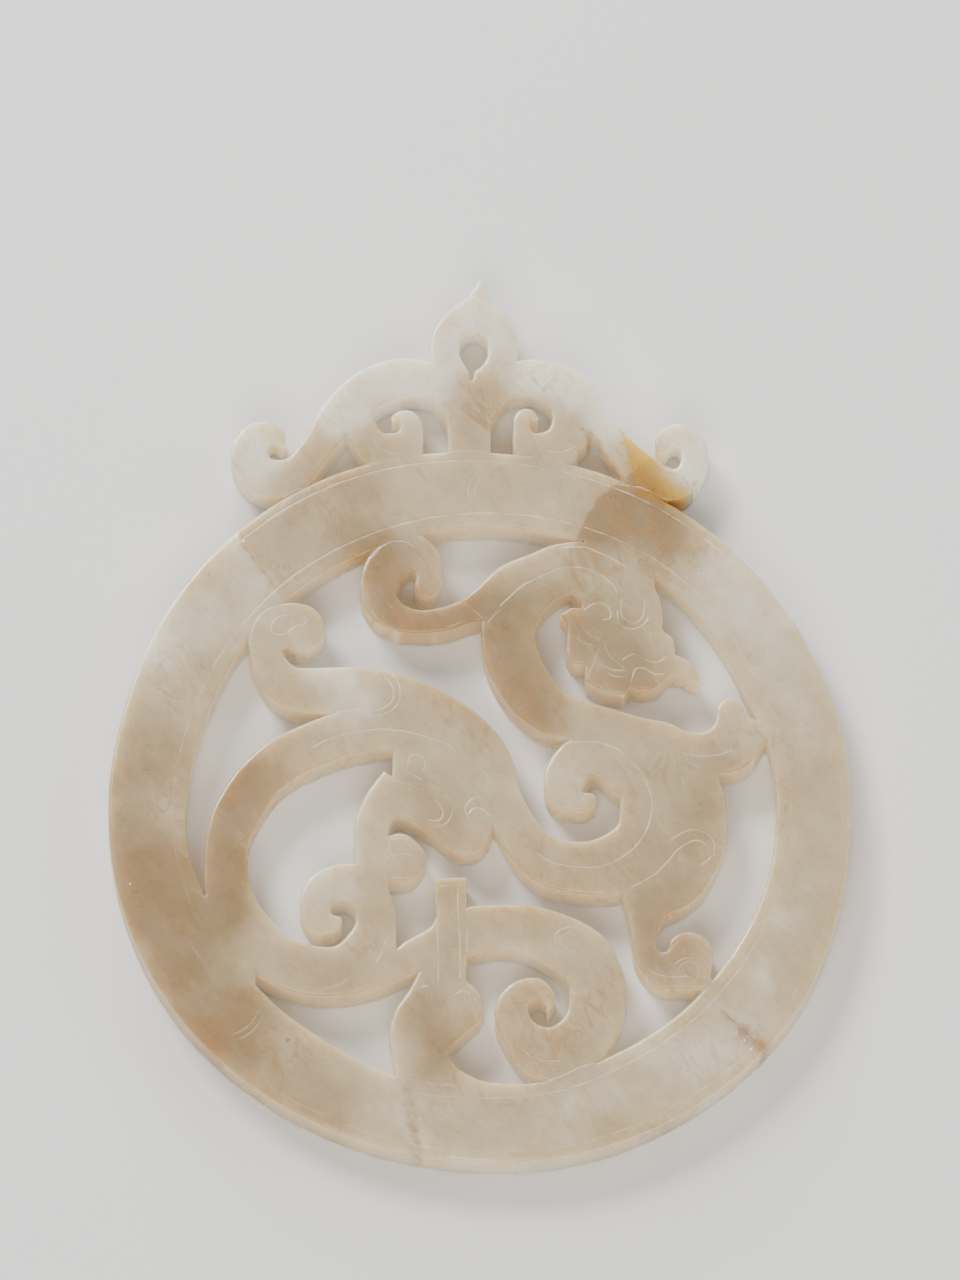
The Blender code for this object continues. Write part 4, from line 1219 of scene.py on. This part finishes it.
# The sawn walls are coloured lighter and warmer than the face, a painted glow for light through the stone.
SAWN_GLOW_COLORS = {"Stone": (0.54, 0.425, 0.26, 1), "Warm": (0.42, 0.29, 0.145, 1), "Clouds": 0.7}
MENDED_COLORS = {
    "Stone": (0.50, 0.315, 0.05, 1),
    "Warm": (0.34, 0.17, 0.015, 1),
    "Pale": (0.64, 0.47, 0.19, 1),
}
SAWN_POLISH = {"Smooth": 0.4, "Dull": 0.55, "Scratches": 0.1}
FINE_BUMP, SAWN_BUMP = 0.012 * MM, 0.03 * MM
POLISHED = stone("polished nephrite", {}, {}, FINE_BUMP, specks=STONE_SPECKS)
SAWN = stone("sawn nephrite with painted glow", SAWN_GLOW_COLORS, SAWN_POLISH, SAWN_BUMP, saw_marks=1.2, glow=0.42)
MENDED = stone("mended nephrite", MENDED_COLORS, {}, FINE_BUMP, specks=CORNER_PITS, fades=True)
print("specks", len(STONE_SPECKS), "and", len(CORNER_PITS))

# %% [markdown]
# ## Carving and wear
#
# One tree works on the slab. It softens both edges of every opening, takes the grooves out of the face
# along the drawn lines, opens the old breaks a hair's breadth, lets the polish wander by a few hundredths
# of a millimetre and nicks the rims here and there. Heights are worked out for a top and a bottom
# surface, and each point takes its place between them, so the walls follow whatever happens to the rims.

# %% Carve tree
PRESSURE_SCALE, EDGE_WEAR_SCALE, WAVE_SCALE = 520.0, 330.0, 110.0
NICK_SCALE, WALL_SCALE = 640.0, 900.0
NICK_REACH = 0.5 * MM
WALL_DIMMING, UPPER_DIMMING = 1.0 * MM, 0.3 * MM
SHARP_ANGLE = math.radians(50)


def carve_tree():
    tree, start, end = geometry_tree("carve and wear", [
        ("Lines", "NodeSocketObject", None),
        ("Breaks", "NodeSocketObject", None),
        ("Rims", "NodeSocketObject", None),
        ("Thickness", "NodeSocketFloat", THICKNESS),
        ("Line Width", "NodeSocketFloat", GROOVE_WIDTH),
        ("Line Depth", "NodeSocketFloat", 0.045 * MM),
        ("Break Width", "NodeSocketFloat", 0.16 * MM),
        ("Break Depth", "NodeSocketFloat", 0.008 * MM),
        ("Edge Radius", "NodeSocketFloat", EDGE_RADIUS),
        ("Back Edge Radius", "NodeSocketFloat", 0.18 * MM),
        ("Worn Shoulder", "NodeSocketFloat", 0.035 * MM),
        ("Shoulder Reach", "NodeSocketFloat", 1.3 * MM),
        ("Polish Wave", "NodeSocketFloat", 0.05 * MM),
        ("Nick Depth", "NodeSocketFloat", 0.55 * MM),
        ("Wall Wave", "NodeSocketFloat", 0.06 * MM),
        ("Face Material", "NodeSocketMaterial", None),
        ("Wall Material", "NodeSocketMaterial", None),
        ("Mended Material", "NodeSocketMaterial", None),
    ])
    given = start.outputs
    place = put(tree, "GeometryNodeInputPosition").outputs[0]
    parts = put(tree, "ShaderNodeSeparateXYZ", {0: place})
    flat = put(tree, "ShaderNodeCombineXYZ", {0: parts.outputs[0], 1: parts.outputs[1]}).outputs[0]

    def held(name):
        info = put(tree, "GeometryNodeObjectInfo", {"Object": given[name]}, transform_space="ORIGINAL")
        return info.outputs["Geometry"]

    def near(shape):
        return put(tree, "GeometryNodeProximity", {0: shape, "Sample Position": flat},
                   target_element="EDGES").outputs

    def read(name, kind):
        node = put(tree, "GeometryNodeInputNamedAttribute", {"Name": name}, data_type=kind)
        return node.outputs["Attribute"]

    def uneven(scale, amount):
        return total(tree, swing(tree, noise_at(tree, flat, scale), amount), 1.0)

    network = held("Lines")
    rim = near(held("Rims"))
    to_rim, to_line, to_break = rim["Distance"], near(network)["Distance"], near(held("Breaks"))["Distance"]
    nearest = put(tree, "GeometryNodeSampleNearest", {0: network, "Sample Position": flat}, domain="POINT")
    sampled = put(tree, "GeometryNodeSampleIndex", {
        0: network, 1: read("strength", "FLOAT"), "Index": nearest.outputs[0]},
        data_type="FLOAT", domain="POINT").outputs[0]

    def edge_drop(radius):
        into = maths(tree, "SUBTRACT", 1.0, maths(tree, "DIVIDE", to_rim, radius), True)
        root = maths(tree, "SQRT", less(tree, 1.0, product(tree, into, into)))
        return product(tree, less(tree, 1.0, root), radius)

    def within(distance, width):
        """One on a line, and nothing beyond half its width."""
        return ramp(tree, distance, 0.0, product(tree, width, 0.5), 1.0, 0.0)

    pressure = product(tree, sampled, uneven(PRESSURE_SCALE, 1.1))
    groove = product(tree, within(to_line, given["Line Width"]), pressure, given["Line Depth"])
    gap = product(tree, within(to_break, given["Break Width"]), given["Break Depth"])
    slope = maths(tree, "SUBTRACT", 1.0, maths(tree, "DIVIDE", to_rim, given["Shoulder Reach"]), True)
    shoulder = product(tree, slope, slope, given["Worn Shoulder"])
    wave = product(tree, noise_at(tree, flat, WAVE_SCALE), given["Polish Wave"])
    nick = ramp(tree, noise_at(tree, flat, NICK_SCALE, 2.0, 0.6), 0.70, 0.84)
    nick = product(tree, nick, ramp(tree, to_rim, NICK_REACH, 0.0), given["Nick Depth"])

    edge = edge_drop(product(tree, given["Edge Radius"], uneven(EDGE_WEAR_SCALE, 1.3)))
    top = less(tree, given["Thickness"], edge, groove, gap, shoulder, wave, nick)
    bottom = edge_drop(given["Back Edge Radius"])
    height = read("height", "FLOAT")
    level = total(tree, bottom, product(tree, less(tree, top, bottom), height))
    belly = product(tree, height, less(tree, 1.0, height), 4.0)
    saw = product(tree, noise_at(tree, flat, WALL_SCALE), given["Wall Wave"], belly)
    into_stone = read("inward", "FLOAT_VECTOR")
    aside = put(tree, "ShaderNodeVectorMath", {0: into_stone, "Scale": saw}, operation="SCALE").outputs[0]
    raised = put(tree, "ShaderNodeCombineXYZ", {0: parts.outputs[0], 1: parts.outputs[1], 2: level})
    goal = vectors(tree, "ADD", raised.outputs[0], aside)

    # The rim_distance note is where a painted highlight goes: along rims that face up and along the back edge
    # of the walls, kept off the front of rims that face down.
    from_rim = vectors(tree, "SUBTRACT", rim["Position"], place)
    outward = vectors(tree, "SUBTRACT", from_rim, into_stone)
    outward = put(tree, "ShaderNodeVectorMath", {0: outward}, operation="NORMALIZE").outputs[0]
    upward = put(tree, "ShaderNodeSeparateXYZ", {0: outward}).outputs[1]
    shaded = product(tree, ramp(tree, upward, 0.7, -0.1), product(tree, height, UPPER_DIMMING))
    glint = total(tree, to_rim, product(tree, belly, WALL_DIMMING), shaded)
    real = given["Geometry"]
    for name, value in (("break_distance", to_break), ("line_distance", to_line),
                        ("line_strength", pressure), ("rim_distance", glint)):
        real = put(tree, "GeometryNodeStoreNamedAttribute", {
            "Geometry": real, "Name": name, "Value": value}).outputs[0]
    real = put(tree, "GeometryNodeSetPosition", {"Geometry": real, "Position": goal}).outputs[0]
    real = put(tree, "GeometryNodeRealizeInstances", {0: real}).outputs[0]
    for which, material in ((None, "Face Material"), ("is_wall", "Wall Material"),
                            ("is_mended", "Mended Material")):
        painted = put(tree, "GeometryNodeSetMaterial", {"Geometry": real, "Material": given[material]})
        if which:
            tree.links.new(read(which, "BOOLEAN"), painted.inputs["Selection"])
        real = painted.outputs[0]
    tree.links.new(real, end.inputs[0])
    return tree


pendant = run_tree(slab, carve_tree(), {
    "Lines": engraved, "Breaks": broken, "Rims": rims,
    "Face Material": POLISHED, "Wall Material": SAWN, "Mended Material": MENDED,
})
for name in ("height", "inward", "is_wall", "is_mended"):
    pendant.data.attributes.remove(pendant.data.attributes[name])
pendant.data.set_sharp_from_angle(angle=SHARP_ANGLE)
for helper in (engraved, broken, rims, crescents):
    bpy.data.objects.remove(helper)
heights = [v.co.z / MM for v in pendant.data.vertices]
print("carved", len(pendant.data.polygons), "faces, up to", round(max(heights), 3), "mm high")

# %% Hang it on the node
pendant.name = "pendant_stone"
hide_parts("jade_pendant")
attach(pendant, "root")

# %% [markdown]
# ## Table and light
#
# The pendant lies on its back on a pale table. A large soft box stands over its upper left, close to
# where the camera sees a reflection, and puts the cool sheen on the left of the ring. Weaker ones fill in
# from below and from the right, so the grooves show as fine shadows and not as black lines.

# %% Table
TABLE_SIZE = 3.0
TABLE_COLOR = (0.78, 0.77, 0.75, 1)
TABLE_ROUGHNESS = 0.85


def add_floor():
    bpy.ops.mesh.primitive_plane_add(size=TABLE_SIZE, location=(0, 0, 0))
    floor = bpy.context.object
    floor.name = "pale_table"
    material = bpy.data.materials.new("pale table")
    material.use_nodes = True
    shader = material.node_tree.nodes["Principled BSDF"]
    shader.inputs["Base Color"].default_value = TABLE_COLOR
    shader.inputs["Roughness"].default_value = TABLE_ROUGHNESS
    floor.data.materials.append(material)
    return floor


add_floor()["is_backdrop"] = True

# %% Lights
def soft_box(name, direction, distance, size, power, color):
    data = bpy.data.lights.new(name, "AREA")
    data.shape = "DISK"
    data.size = size
    data.energy = power
    data.color = color
    light = bpy.data.objects.new(name, data)
    bpy.context.scene.collection.objects.link(light)
    towards = Vector(direction).normalized()
    light.location = towards * distance
    light.rotation_euler = towards.to_track_quat("Z", "Y").to_euler()
    light.visible_camera = False
    return light


# A soft box is its direction, distance, width, power and colour.
SOFT_BOXES = {
    "main_box": ((-0.48, 0.7, 0.8), 0.8, 0.3, 6.0, (0.96, 0.98, 1.0)),
    "warm_side": ((0.9, 0.2, 0.6), 0.9, 0.5, 2.0, (1.0, 0.95, 0.88)),
    "low_front": ((-0.1, -0.68, 0.75), 0.9, 0.6, 6.0, (1.0, 0.95, 0.87)),
    "behind_top": ((-0.15, 1.0, 0.3), 0.9, 0.35, 5.0, (1.0, 0.98, 0.95)),
}
ROOM_COLOR = (0.9, 0.93, 1.0, 1)
ROOM_LIGHT = 0.55
for name, values in SOFT_BOXES.items():
    soft_box(name, *values)
world = bpy.data.worlds.new("pale room")
bpy.context.scene.world = world
world.use_nodes = True
room = world.node_tree.nodes["Background"]
room.inputs["Color"].default_value = ROOM_COLOR
room.inputs["Strength"].default_value = ROOM_LIGHT
print(len(SOFT_BOXES), "soft boxes")

# %% [markdown]
# ## Measure
#
# The imported solid's box and the finished pendant's box are set side by side.

# %% Measure and finish
low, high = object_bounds()
growth = zip((*-low, *high), (*-cad_low, *cad_high))
print("grown by", [round((seen - packed) / MM, 3) for seen, packed in growth], "mm")
